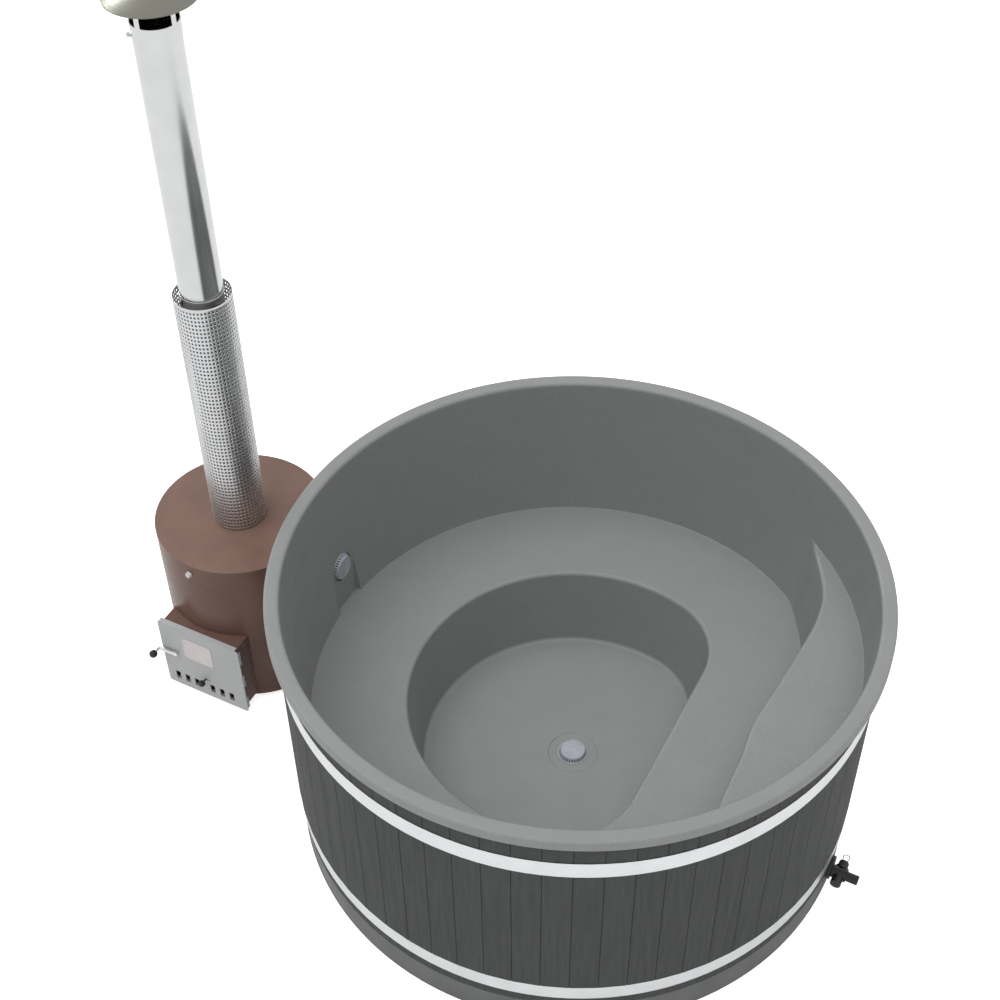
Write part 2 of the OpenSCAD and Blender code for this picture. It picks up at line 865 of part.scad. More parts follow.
function heading(a, b) = (b - a) / norm(b - a);
function turn_at(points, i) = acos(heading(points[i - 1], points[i]) * heading(points[i], points[i + 1]));
function cut_at(points, i) = i <= 0 || i >= len(points) - 1 ? 0 : bend_r * tan(turn_at(points, i) / 2);

// One bend of a pipe round the inner corner i of its line
module bend(points, i) {
    d1 = heading(points[i - 1], points[i]);
    d2 = heading(points[i], points[i + 1]);
    turn = turn_at(points, i);
    n = (d2 - d1 * (d1 * d2)) / sin(turn);
    c = points[i] - d1 * cut_at(points, i) + n * bend_r;
    z = cross(-n, d1);
    multmatrix([[-n[0], d1[0], z[0], c[0]], [-n[1], d1[1], z[1], c[1]],
            [-n[2], d1[2], z[2], c[2]], [0, 0, 0, 1]])
        rotate_extrude(angle = turn) translate([bend_r, 0]) difference() {
            circle(r = pipe_r);
            circle(r = pipe_r - pipe_t);
        }
}

// A pipe along a line of points, of straight lengths and bends that butt together
module pipe_run(points) {
    for (i = [0:len(points) - 2]) {
        d = heading(points[i], points[i + 1]);
        from = points[i] + d * (cut_at(points, i) + (i > 0 ? weld_gap : 0));
        to = points[i + 1] - d * (cut_at(points, i + 1) + (i + 2 < len(points) ? weld_gap : 0));
        translate(from) rotate([0, acos(d[2]), atan2(d[1], d[0])])
            tube(pipe_r, pipe_r - pipe_t, norm(to - from));
        if (i > 0) bend(points, i);
    }
}

function around(deg, r, z) = [r * cos(deg), r * sin(deg), z];

drain_points = [[0, -well_shift, floor_z - liner_t - sleeve_l + socket_l - fit],
    [0, -well_shift, drain_z], around(drain_deg, stave_r / 2, drain_z),
    around(drain_deg, barrel_x - barrel_r - fit, drain_z)];

module drain_pipe() {
    color("#33353a") pipe_run(drain_points);
}

module hot_pipe() {
    start = liner_t + sleeve_l - socket_l + fit;
    color("#8a8c8e") hot_line() translate([0, 0, start]) tube(pipe_r, pipe_r - pipe_t, hot_stub - start);
}

// The cold pipe leaves the well, passes under the seat and turns to the stove
cold_dir = [cos(cold_deg) * cos(well_deg), sin(cold_deg) * cos(well_deg), -sin(well_deg)];
cold_mouth = around(cold_deg, cold_r, cold_z) - [0, well_shift, 0];
cold_start = liner_t + sleeve_l - socket_l + fit;
cold_turn = (cold_turn_r - cold_r) / cos(well_deg);
cold_points = [cold_mouth + cold_dir * cold_start, cold_mouth + cold_dir * cold_turn,
    around(cold_exit_deg, cold_exit_r, cold_z), around(cold_exit_deg, tub_stub_r, cold_z)];

module cold_pipe() {
    color("#33353a") pipe_run(cold_points);
}

module wall_grommets() {
    color("#222426") {
        hot_line() translate([0, 0, stave_r + fit - hot_r]) tube(grommet_r, pipe_r + fit, grommet_t);
        cold_exit() translate([0, 0, stave_r + fit]) tube(grommet_r, pipe_r + fit, grommet_t);
    }
}

hose_start = grommet_t + hose_in;
hot_hose_z0 = stave_r + hose_start - hot_r;
hot_hose_z1 = hot_run - hose_out;
cold_hose_z0 = stave_r + hose_start;
cold_side_x = stove_side_x(cold_exit_deg);
cold_hose_z1 = cold_side_x - hose_out;

module hoses() {
    color("#1d1e20") {
        hot_line() translate([0, 0, hot_hose_z0])
            tube(pipe_r + fit + hose_t, pipe_r + fit / 2, hot_hose_z1 - hot_hose_z0);
        cold_exit() translate([0, 0, cold_hose_z0])
            tube(pipe_r + fit + hose_t, pipe_r + fit / 2, cold_hose_z1 - cold_hose_z0);
    }
}

module hose_clamp(z) {
    r = pipe_r + fit + hose_t + clamp_play;
    translate([0, 0, z]) {
        tube(r + clamp_t, r, hose_clamp_w);
        translate([-screw_l / 2, -r - clamp_t - screw_r * 0.7, hose_clamp_w / 2])
            rotate([0, 90, 0]) cylinder(h = screw_l, r = screw_r);
    }
}

module hose_clamps() {
    color("#c4c6c8") {
        hot_line() {
            hose_clamp(hot_hose_z0 + hose_in);
            hose_clamp(hot_hose_z1 - hose_in - hose_clamp_w);
        }
        cold_exit() {
            hose_clamp(cold_hose_z0 + hose_in);
            hose_clamp(cold_hose_z1 - hose_in - hose_clamp_w);
        }
    }
}

// Drain valve

module drain_valve_flange() {
    color("#191a1c") drain_line() difference() {
        translate([-valve_flange_rise, 0, valve_seat_r]) cylinder(h = valve_flange_t, r = valve_flange_r);
        translate([0, 0, valve_seat_r - over]) cylinder(h = valve_flange_t + 2 * over, r = pipe_r + fit);
    }
}

module drain_valve_body() {
    color("#1c1d1f") drain_line() difference() {
        union() {
            translate([0, 0, valve_face_r]) cylinder(h = barrel_x - valve_face_r, r = pipe_r + sleeve_t);
            translate([0, 0, barrel_x]) rotate([90, 0, 0]) cylinder(h = barrel_l, r = barrel_r);
            translate([0, barrel_far, barrel_x]) rotate([90, 0, 0]) cylinder(h = barrel_far, r = barrel_r);
            translate([0, barrel_far, barrel_x]) rotate([90, 0, 0]) cylinder(h = collar_w, r = collar_r);
            translate([0, 0, barrel_x]) cylinder(h = barrel_r + spout_step, r = spout_r + spout_step);
            translate([0, 0, barrel_x]) cylinder(h = barrel_r + spout_step + spout_l, r = spout_r);
        }
        translate([0, 0, valve_face_r - over]) cylinder(h = barrel_x - barrel_r - valve_face_r + over,
            r = pipe_r + fit);
        translate([0, 0, valve_face_r]) cylinder(h = barrel_x - valve_face_r + barrel_r + over,
            r = plug_bore_r);
        translate([0, 0, barrel_x + barrel_r]) cylinder(h = spout_step + spout_l + over, r = spout_bore_r);
        translate([0, barrel_far + over, barrel_x]) rotate([90, 0, 0])
            cylinder(h = barrel_far + over + barrel_l - barrel_cup, r = plug_r + run);
    }
}

module drain_valve_plug() {
    long = barrel_l - barrel_cup - run;
    color("#c9cacc") drain_line() difference() {
        translate([0, barrel_far + knob_gap + knob_socket, barrel_x]) rotate([90, 0, 0])
            cylinder(h = barrel_far + knob_gap + knob_socket + long, r = plug_r);
        translate([0, 0, barrel_x - 2 * plug_r]) cylinder(h = 4 * plug_r, r = plug_bore_r);
    }
}

module drain_valve_knob() {
    y0 = barrel_far + knob_gap;
    color("#1c1d1f") drain_line() translate([0, y0, barrel_x]) rotate([-90, 0, 0]) difference() {
        union() {
            cylinder(h = knob_l, r = knob_r - knob_rib_r);
            for (i = [0:knob_rib_n - 1]) rotate([0, 0, i * 360 / knob_rib_n])
                translate([knob_r - knob_rib_r, 0, 0]) cylinder(h = knob_l, r = knob_rib_r);
        }
        translate([0, 0, -over]) cylinder(h = knob_socket + over + fit, r = plug_r);
        for (s = [-1, 1]) translate([0, s * loop_half, knob_l - loop_sunk])
            cylinder(h = loop_sunk + over, r = wire_r);
    }
}

module drain_valve_loop() {
    y0 = barrel_far + knob_gap + knob_l;
    color("#b5734d") drain_line() translate([0, y0, barrel_x]) rotate([-90, 0, 0]) {
        for (s = [-1, 1]) translate([0, s * loop_half, -loop_sunk])
            cylinder(h = loop_sunk + loop_leg, r = wire_r);
        translate([0, 0, loop_leg]) rotate([90, 0, 90]) rotate_extrude(angle = 180)
            translate([loop_half, 0]) circle(r = wire_r, $fn = 24);
    }
}

// Stove

module neck_block(grow) {
    translate([0, -neck_w / 2 - grow, neck_z0 - grow])
        cube([neck_l, neck_w + 2 * grow, neck_z1 - neck_z0 + 2 * grow]);
}

module stub_cuts(r) {
    hot_line() translate([0, 0, hot_run - stub_l]) cylinder(h = stub_l + jacket_gap, r = r);
    cold_exit() translate([0, 0, cold_side_x - stub_l]) cylinder(h = stub_l + jacket_gap, r = r);
}

module at_vent() {
    at_stove() rotate([0, 0, vent_deg]) translate([stove_r, 0, vent_z]) rotate([0, 90, 0]) children();
}

module stove_shell() {
    color("#6a5850") difference() {
        at_stove() translate([0, 0, foot_h + sheet_t])
            tube(stove_r, stove_r - sheet_t, stove_top_z - foot_h - 2 * sheet_t);
        at_door() neck_block(fit);
        stub_cuts(pipe_r + stub_play);
        at_vent() translate([0, 0, -2 * sheet_t]) cylinder(h = 4 * sheet_t, r = thread_r + fit);
    }
}

module stove_top() {
    color("#836b61") at_stove() translate([0, 0, stove_top_z - sheet_t])
        tube(stove_r, lower_flue_r + fit, sheet_t);
}

module stove_bottom() {
    color("#6a5850") at_stove() translate([0, 0, foot_h]) cylinder(h = sheet_t, r = stove_r);
}

module stove_feet() {
    color("#2c2b2a") at_stove() for (i = [0:foot_n - 1])
        rotate([0, 0, door_deg + 45 + i * 360 / foot_n]) translate([foot_ring_r, 0, 0])
            cylinder(h = foot_h, r = foot_r);
}

module fire_box() {
    color("#3a3634") difference() {
        at_stove() translate([0, 0, foot_h + sheet_t])
            cylinder(h = fire_top_z - foot_h - sheet_t, r = fire_r);
        at_stove() translate([0, 0, fire_floor_z])
            cylinder(h = fire_top_z - fire_t - fire_floor_z, r = fire_r - fire_t);
        at_stove() translate([0, 0, foot_h])
            cylinder(h = fire_floor_z - fire_t - foot_h, r = fire_r - fire_t);
        at_stove() translate([0, 0, fire_top_z - 2 * fire_t])
            cylinder(h = 4 * fire_t, r = lower_flue_r + fit);
        at_door() neck_block(-sheet_t);
    }
}

module fire_grate() {
    pitch = grate_bar + grate_gap;
    n = floor(grate_r / pitch);
    color("#2f2d2c") at_door() {
        translate([0, 0, grate_z]) tube(grate_r, grate_r - grate_rim, grate_t);
        intersection() {
            translate([0, 0, grate_z]) cylinder(h = grate_t, r = grate_r - grate_rim / 2);
            for (i = [-n:n]) translate([-grate_r, i * pitch - grate_bar / 2, grate_z])
                cube([2 * grate_r, grate_bar, grate_t]);
        }
        for (i = [0:grate_leg_n - 1]) rotate([0, 0, 45 + i * 360 / grate_leg_n])
            translate([grate_r - grate_rim / 2, 0, fire_floor_z])
                cylinder(h = grate_z - fire_floor_z + grate_t / 2, r = grate_leg_r);
    }
}

module stove_stubs() {
    color("#8a8c8e") difference() {
        union() {
            hot_line() translate([0, 0, hot_run - stub_l])
                cylinder(h = stub_l + jacket_gap / 2, r = pipe_r);
            cold_exit() translate([0, 0, cold_side_x - stub_l])
                cylinder(h = stub_l + jacket_gap / 2, r = pipe_r);
        }
        hot_line() translate([0, 0, hot_run - 2 * stub_l]) cylinder(h = 4 * stub_l, r = pipe_r - pipe_t);
        cold_exit() translate([0, 0, cold_side_x - 2 * stub_l])
            cylinder(h = 4 * stub_l, r = pipe_r - pipe_t);
    }
}

module vent_plug() {
    color("#dcdcda") at_vent() {
        translate([0, 0, -3 * sheet_t]) cylinder(h = 3 * sheet_t + boss_h, r = thread_r);
        translate([0, 0, fit]) cylinder(h = boss_h, r = boss_r);
        translate([0, 0, boss_h]) cylinder(h = hex_h, r = hex_r, $fn = 6);
    }
}

// A hinge leaf's knuckle, and the arm that joins it to its sheet
module knuckle(i) {
    translate([hinge_x, hinge_y, hinge_z0 + i * hinge_step + fit])
        cylinder(h = hinge_step - 2 * fit, r = hinge_r);
}

module pin_hole() {
    translate([hinge_x, hinge_y, door_z0]) cylinder(h = door_z1 - door_z0, r = hinge_pin_r);
}

module door_neck() {
    color("#5f4d46") difference() {
        union() {
            at_door() difference() {
                neck_block(0);
                neck_block(-sheet_t);
                translate([neck_l - over, 0, 0]) neck_block(-sheet_t);
                cylinder(h = neck_z1 + over, r = fire_r + fit);
            }
            at_door() for (i = [1:2:hinge_n - 1]) {
                knuckle(i);
                translate([neck_l - leaf_l, neck_w / 2, hinge_z0 + i * hinge_step + fit])
                    cube([leaf_l, hinge_leaf_t, hinge_step - 2 * fit]);
                translate([hinge_x - hinge_r, neck_w / 2, hinge_z0 + i * hinge_step + fit])
                    cube([hinge_leaf_t, hinge_y - neck_w / 2, hinge_step - 2 * fit]);
            }
        }
        at_door() pin_hole();
    }
}

module hinge_pins() {
    color("#9a9c9e") at_door() {
        translate([hinge_x, hinge_y, hinge_z0]) cylinder(h = hinge_z1 - hinge_z0, r = hinge_pin_r - fit);
        translate([hinge_x, hinge_y, hinge_z1]) cylinder(h = pin_head_h, r = pin_head_r);
    }
}

module door_outline(grow) {
    y0 = -door_w / 2;
    y1 = hinge_y + hinge_r;
    r = door_corner_r;
    hull() for (y = [y0 + r, y1 - r], z = [door_z0 + r, door_z1 - r])
        translate([y, z]) circle(r = r + grow, $fn = 32);
}

module door_slab(x, t, grow) {
    translate([x, 0, 0]) rotate([90, 0, 90]) linear_extrude(t) door_outline(grow);
}

function air_ys() = [for (s = [-1, 1], i = [0:2]) air_mid + s * (air_first + i * air_step)];

module fire_door() {
    flap_y = neck_w / 2 + hinge_leaf_t + fit;
    color("#a7a9a9") at_door() difference() {
        union() {
            door_slab(sheet_x, sheet_t, 0);
            intersection() {
                difference() {
                    door_slab(door_x0, door_t, 0);
                    door_slab(door_x0 - over, door_t + 2 * over, -sheet_t);
                }
                translate([0, -door_w, 0]) cube([2 * neck_l, door_w + flap_y, door_z1 + over]);
            }
            for (i = [0:2:hinge_n - 1]) {
                knuckle(i);
                translate([hinge_x, hinge_y - hinge_leaf_t / 2, hinge_z0 + i * hinge_step + fit])
                    cube([sheet_x - hinge_x + over, hinge_leaf_t, hinge_step - 2 * fit]);
            }
        }
        for (y = air_ys()) translate([sheet_x - over, y - air_w / 2, air_z - air_h / 2])
            cube([sheet_t + 2 * over, air_w, air_h]);
        translate([sheet_x - over, slide_ball_y - ball_stem_r - fit, slide_ball_z - ball_stem_r - fit])
            cube([sheet_t + 2 * over, air_travel + 2 * (ball_stem_r + fit), 2 * (ball_stem_r + fit)]);
        translate([door_x0, -handle_y, handle_z]) rotate([0, 90, 0])
            cylinder(h = 2 * door_t, r = handle_shaft_r + run);
        pin_hole();
    }
}

module door_seal() {
    w = neck_w / 2 - seal_in;
    color("#5a5a58") at_door() difference() {
        translate([neck_l + fit, -w, neck_z0 + seal_in])
            cube([sheet_x - neck_l - fit, 2 * w, neck_z1 - neck_z0 - 2 * seal_in]);
        translate([neck_l, -w + seal_w, neck_z0 + seal_in + seal_w])
            cube([door_t, 2 * (w - seal_w), neck_z1 - neck_z0 - 2 * (seal_in + seal_w)]);
        translate([sheet_x - slide_t - 2 * fit, -door_w, slide_z0 - fit])
            cube([door_t, 2 * door_w, slide_z1 - slide_z0 + 2 * fit]);
    }
}

module name_plate() {
    color("#cfc9ca") at_door() {
        translate([door_x1, plate_mid - plate_w / 2, plate_z - plate_h / 2])
            cube([plate_t, plate_w, plate_h]);
        for (y = [-1, 1], z = [-1, 1])
            translate([door_x1, plate_mid + y * (plate_w / 2 - rivet_in),
                    plate_z + z * (plate_h / 2 - rivet_in)])
                rotate([0, 90, 0]) cylinder(h = plate_t + rivet_h, r = rivet_r);
    }
}

module slide_guides() {
    x1 = sheet_x;
    back = x1 - slide_t - fit - guide_t;
    color("#8d8f90") at_door() for (z = [slide_z0 - fit - guide_h, slide_z1 + fit]) {
        translate([back, -guide_half, z]) cube([x1 - back, 2 * guide_half, guide_h]);
        lip_z = z < slide_z1 ? z : z - guide_lip;
        translate([back, -guide_half, lip_z]) cube([guide_t, 2 * guide_half, guide_h + guide_lip]);
    }
}

module air_slide() {
    color("#4c4d4e") at_door() difference() {
        translate([sheet_x - slide_t - fit / 2, air_mid - slide_far - air_travel, slide_z0])
            cube([slide_t, 2 * slide_far + air_travel, slide_z1 - slide_z0]);
        for (y = air_ys()) translate([sheet_x - 3 * slide_t, y - air_w / 2 + fit, air_z - air_h / 2 + fit])
            cube([4 * slide_t, air_w - 2 * fit, air_h - 2 * fit]);
        translate([sheet_x - 3 * slide_t, slide_ball_y, slide_ball_z]) rotate([0, 90, 0])
            cylinder(h = 4 * slide_t, r = ball_stem_r - fit);
    }
}

module air_slide_ball() {
    color("#1a1b1c") at_door() translate([0, slide_ball_y, slide_ball_z]) {
        translate([door_x1 + slide_ball_out, 0, 0]) sphere(r = small_ball_r);
        translate([sheet_x - slide_t, 0, 0]) rotate([0, 90, 0])
            cylinder(h = sheet_t + slide_t + slide_ball_out, r = ball_stem_r - fit);
    }
}

module at_handle() {
    at_door() translate([0, -handle_y, handle_z]) rotate([0, 90, 0]) children();
}

module door_handle() {
    arm_x = door_x1 + washer_t;
    color("#d2d3d4") at_handle() {
        translate([0, 0, tongue_x]) cylinder(h = arm_x + handle_t - tongue_x, r = handle_shaft_r);
        translate([0, 0, door_x1 + run]) cylinder(h = arm_x + handle_t - door_x1 - run, r = handle_boss_r);
        rotate([0, 0, handle_rise]) translate([-handle_h / 2, -handle_l, arm_x])
            cube([handle_h, handle_l, handle_t]);
        rotate([0, 0, handle_rise]) translate([0, -handle_l, arm_x]) {
            cylinder(h = handle_t, r = handle_h / 2);
            cylinder(h = ball_out - washer_t, r = handle_shaft_r);
        }
    }
}

module door_handle_ball() {
    color("#1a1b1c") at_handle() rotate([0, 0, handle_rise]) translate([0, -handle_l, door_x1 + ball_out])
        difference() {
            sphere(r = ball_r);
            translate([0, 0, -ball_out]) cylinder(h = ball_out, r = handle_shaft_r);
        }
}

module latch_tongue() {
    color("#77797a") at_handle() translate([0, 0, tongue_x]) difference() {
        union() {
            cylinder(h = tongue_t, r = tongue_h / 2);
            translate([-tongue_h / 2, -tongue_reach, 0]) cube([tongue_h, tongue_reach, tongue_t]);
        }
        translate([0, 0, -over]) cylinder(h = tongue_t + 2 * over, r = handle_shaft_r);
    }
}

// Chimney

module lower_flue() {
    color("#b8babc") at_stove() translate([0, 0, flue_floor_z])
        tube(lower_flue_r, lower_flue_r - flue_t, joint_z + joint_l - flue_floor_z);
}

module upper_flue() {
    color("#d0d2d3") at_stove() {
        translate([0, 0, joint_z]) tube(flue_r, flue_r - flue_t, flue_top_z - joint_z);
        translate([0, 0, joint_z]) rotate_extrude()
            translate([flue_r, bead_r]) circle(r = bead_r, $fn = 24);
    }
}

module heat_shield() {
    color("#a5a7a9") at_stove() translate([0, 0, stove_top_z + fit])
        tube(shield_r, shield_r - shield_t, shield_top_z - stove_top_z - fit);
}

// Each clip is a flat foot on the flue, a web and a foot on the shield
module shield_clips() {
    gap_out = shield_r - shield_t - fit / 2;
    gap_in = lower_flue_r + fit / 2;
    color("#b8babc") at_stove() for (z = clip_zs, i = [0:clip_n - 1])
        rotate([0, 0, door_deg + 76 + i * 360 / clip_n]) translate([0, 0, z]) intersection() {
            tube(gap_out, gap_in, clip_h);
            union() {
                translate([gap_in, -clip_w / 2, 0]) cube([gap_out - gap_in, clip_w, clip_t]);
                translate([gap_in, -clip_w / 2, 0]) cube([2 * clip_t, clip_w, clip_h]);
                translate([gap_out - 2 * clip_t, -clip_w / 2, 0]) cube([2 * clip_t, clip_w, clip_h]);
            }
        }
}

module cap_collar() {
    r = cap_r;
    color("#d0d2d3") at_stove() {
        difference() {
            translate([0, 0, flue_top_z - collar_h]) tube(r, r - cap_t, collar_h + hat_gap);
            for (i = [0:strap_n - 1]) rotate([0, 0, strap_deg + i * 360 / strap_n])
                translate([strap_w / 2, strap_w / 2, flue_top_z]) cube([2 * r, 2 * r, hat_gap + over]);
            rotate([0, 0, cap_bolt_deg]) translate([0, -cap_slit / 2, flue_top_z - collar_h - over])
                cube([2 * r, cap_slit, collar_h + 2 * over]);
        }
        rotate([0, 0, cap_bolt_deg]) for (s = [-1, 1]) difference() {
            translate([r - cap_t / 2, s * (cap_slit + ear_t) / 2 - ear_t / 2, cap_bolt_z - ear_w / 2])
                cube([ear_w, ear_t, ear_w]);
            translate([r + ear_w / 2, -cap_bolt_l / 2, cap_bolt_z]) rotate([-90, 0, 0])
                cylinder(h = cap_bolt_l, r = cap_bolt_r);
        }
    }
}

function hat_rise(x) = hat_h * (1 - pow(x / hat_r, 2) * 0.55 - x / hat_r * 0.45);

module cap_hat() {
    shares = [for (i = [0:10]) i / 10];
    color("#b4b5b1") at_stove() translate([0, 0, hat_z]) {
        rotate_extrude() polygon(concat(
            [for (s = shares) [s * hat_r, hat_rise(s * hat_r) + hat_t]],
            [for (i = [10:-1:0]) [shares[i] * hat_r, hat_rise(shares[i] * hat_r)]]));
        rotate_extrude() translate([hat_r, 0]) circle(r = hat_rim_r, $fn = 24);
        difference() {
            cylinder(h = hat_rise(cap_r) + hat_t / 2, r = cap_r);
            translate([0, 0, -over]) cylinder(h = hat_h, r = cap_r - cap_t);
        }
    }
}

module cap_bolt() {
    color("#bfc1c2") at_stove() rotate([0, 0, cap_bolt_deg])
        translate([cap_r + ear_w / 2, -cap_slit / 2 - ear_t, cap_bolt_z]) rotate([-90, 0, 0]) {
            cylinder(h = cap_bolt_l - 2 * cap_bolt_r, r = cap_bolt_r - clamp_play);
            translate([0, 0, -cap_bolt_r]) cylinder(h = cap_bolt_r, r = 2 * cap_bolt_r, $fn = 6);
            translate([0, 0, cap_slit + 2 * ear_t]) cylinder(h = cap_bolt_r, r = 2 * cap_bolt_r, $fn = 6);
        }
}

tub_liner();
staves_back();
staves_left();
staves_front();
staves_right();
upper_band();
lower_band();
band_bolts();
band_nuts();
base_ring();
base_board();
floor_bearers();
seat_ribs();
step_posts();
wall_foam();
floor_foam();
fitting_bodies();
fitting_nuts();
floor_drain_strainer();
hot_inlet_strainer();
cold_outlet_strainer();
drain_pipe();
hot_pipe();
cold_pipe();
wall_grommets();
hoses();
hose_clamps();
drain_valve_flange();
drain_valve_body();
drain_valve_plug();
drain_valve_knob();
drain_valve_loop();
stove_shell();
stove_top();
stove_bottom();
stove_feet();
fire_box();
fire_grate();
stove_stubs();
vent_plug();
door_neck();
hinge_pins();
fire_door();
door_seal();
name_plate();
slide_guides();
air_slide();
air_slide_ball();
door_handle();
door_handle_ball();
latch_tongue();
lower_flue();
upper_flue();
heat_shield();
shield_clips();
cap_collar();
cap_hat();
cap_bolt();
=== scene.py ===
"""Garden hot tub with an outside wood stove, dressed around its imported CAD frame."""
import math

import bmesh
import bpy
from bpy.props import FloatProperty, FloatVectorProperty, IntProperty, PointerProperty
from mathutils import Matrix, Vector


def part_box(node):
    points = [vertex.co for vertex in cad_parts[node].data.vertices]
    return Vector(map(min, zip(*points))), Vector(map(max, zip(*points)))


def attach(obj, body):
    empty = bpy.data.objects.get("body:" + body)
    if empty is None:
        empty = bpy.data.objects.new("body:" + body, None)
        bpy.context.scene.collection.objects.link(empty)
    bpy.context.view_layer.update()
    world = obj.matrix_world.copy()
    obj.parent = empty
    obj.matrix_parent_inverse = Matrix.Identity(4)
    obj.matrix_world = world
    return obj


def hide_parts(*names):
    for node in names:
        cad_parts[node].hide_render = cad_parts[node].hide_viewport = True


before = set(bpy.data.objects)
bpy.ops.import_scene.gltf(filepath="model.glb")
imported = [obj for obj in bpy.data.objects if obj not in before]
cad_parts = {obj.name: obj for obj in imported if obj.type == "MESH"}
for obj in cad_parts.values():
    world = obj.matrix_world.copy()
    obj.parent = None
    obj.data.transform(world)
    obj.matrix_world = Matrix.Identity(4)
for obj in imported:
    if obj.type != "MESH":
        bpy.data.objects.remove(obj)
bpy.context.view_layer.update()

bl_info = {
    "name": "Garden Hot Tub",
    "version": (1, 0, 0),
    "blender": (4, 5, 0),
    "location": "View3D > Sidebar > Hot Tub",
    "description": "Dresses a packed hot tub with its liner, timber, steel and stove finishes",
    "category": "Object",
}


def length(name, words, value):
    """A length property with the given default, in metres."""
    return FloatProperty(name=name, description=words, default=value, min=0.0, unit="LENGTH",
                         subtype="DISTANCE")


def number(name, words, value, least=0.0):
    """A plain number property with the given default."""
    return FloatProperty(name=name, description=words, default=value, min=least)


def angle(name, words, degrees):
    """An angle property with the given default, in degrees."""
    return FloatProperty(name=name, description=words, default=math.radians(degrees), subtype="ANGLE")


def count(name, words, value, least):
    """A whole number property with the given default."""
    return IntProperty(name=name, description=words, default=value, min=least)


def colour(name, words, value):
    """A colour property with the given default."""
    return FloatVectorProperty(name=name, description=words, default=value, min=0.0, max=1.0, size=3,
                               subtype="COLOR")


def direction(name, words, value):
    """A direction property with the given default."""
    return FloatVectorProperty(name=name, description=words, default=value, size=3, subtype="DIRECTION")


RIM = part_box("tub_liner")
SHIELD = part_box("heat_shield")


class TubSizes(bpy.types.PropertyGroup):
    """Sizes of the moulded liner and the cladding"""

    rim_radius: length("Rim radius", "Outer radius of the rim", RIM[1].x)
    rim_height: length("Rim height", "Height of the rim above the ground", RIM[1].z)
    rim_width: length("Rim width", "Width of the rim's flat top", 0.045)
    rim_round: length("Rim edge", "Rounding of the rim's outer edge", 0.009)
    lip_drop: length("Lip drop", "Depth of the turned-down lip", 0.034)
    lip_turn: length("Lip turn", "How far the lip turns in at its lower edge", 0.002)
    wall_lean: length("Wall lean", "How far the wall leans in down to the seat", 0.043)
    wall_bow: number("Wall bow", "Bow of the leaning wall, where 1 is straight", 1.5, 1.0)
    seat_height: length("Seat height", "Height of the seat", 0.432)
    floor_height: length("Floor height", "Height of the foot well's floor", 0.145)
    step_height: length("Step height", "Height of the entry step", 0.702)
    step_blend: length("Step blend", "Soft band where the step's edge meets the wall", 0.010)
    step_foot_blend: length("Step foot blend", "How much wider that band is at the seat", 0.034)
    step_fade: length("Step fade", "Width of the ledge at which the step's edge is at full height", 0.012)
    well_top: length("Well radius at the seat", "Radius of the foot well at the seat", 0.515)
    well_floor: length("Well radius at the floor", "Radius of the foot well at its floor", 0.478)
    side_top: length("Straight side at the seat", "Distance of the well's straight side", 0.316)
    side_floor: length("Straight side at the floor", "Distance of the straight side", 0.279)
    well_corner: length("Well corners", "Rounding of the well's two corners", 0.235)
    well_shift: length("Well shift", "How far the well's centre lies in front", 0.015)
    edge_round: length("Moulded edges", "Rounding of the liner's edges", 0.013)
    fine_round: length("Fine edges", "Rounding of the recess and the lip", 0.001)
    shell: length("Shell", "Wall thickness of the liner", 0.005)
    drain_hole: length("Drain hole", "Radius of the hole under the floor drain", 0.020)
    recess_radius: length("Drain recess", "Radius of the recess round the floor drain", 0.079)
    recess_depth: length("Drain recess depth", "Depth of that recess", 0.003)
    recess_slope: length("Drain recess slope", "Width of that recess's sloping edge", 0.003)
    hollow_width: length("Inlet hollow", "Width of the hollow for the hot inlet", 0.120)
    hollow_height: length("Inlet height", "Height of the hot inlet", 0.590)
    hollow_reach: length("Inlet flat", "Distance of the hollow's flat back from the tub's axis", 0.8265)
    hollow_splay: number("Inlet splay", "Widening of the hollow per metre of depth", 0.30)
    hollow_turn: angle("Inlet direction", "Direction of the hot inlet", 155.6)
    seat_reach: length("Inlet seat", "Distance of the strainer's round seat from the tub's axis", 0.83706)
    seat_round: length("Inlet seat radius", "Radius of that seat", 0.0485)
    valve_turn: angle("Drain direction", "Direction of the drain valve", -24.5)
    loop_rise: length("Wire loop", "How much further the valve's wire loop is drawn out", 0.0175)
    loop_hold: length("Wire foot", "Length of the loop's feet that stays as it is", 0.0075)
    loop_spread: number("Loop spread", "Widening of the wire loop", 1.36, 1.0)
    liner_columns: count("Liner columns", "Columns of the liner's mesh", 360, 48)
    stave_count: count("Staves", "Number of staves round the tub", 68, 12)
    stave_turn: angle("Stave turn", "Direction of the first joint", 0.8)


class StoveSizes(bpy.types.PropertyGroup):
    """Sizes of the heat shield's perforation"""

    hole_columns: count("Hole columns", "Holes round the heat shield", 49, 8)
    hole_rows: count("Hole rows", "Rows of holes up the heat shield", 62, 4)
    hole_width: length("Hole width", "Width of a hole in the heat shield", 0.0057)
    hole_corner: number("Hole corners", "Cut corner of a hole as a share of its width", 0.26)
    shield_border: length("Shield border", "Plain border at both ends of the heat shield", 0.008)
    shield_sheet: length("Shield sheet", "Sheet thickness of the heat shield", 0.0010)


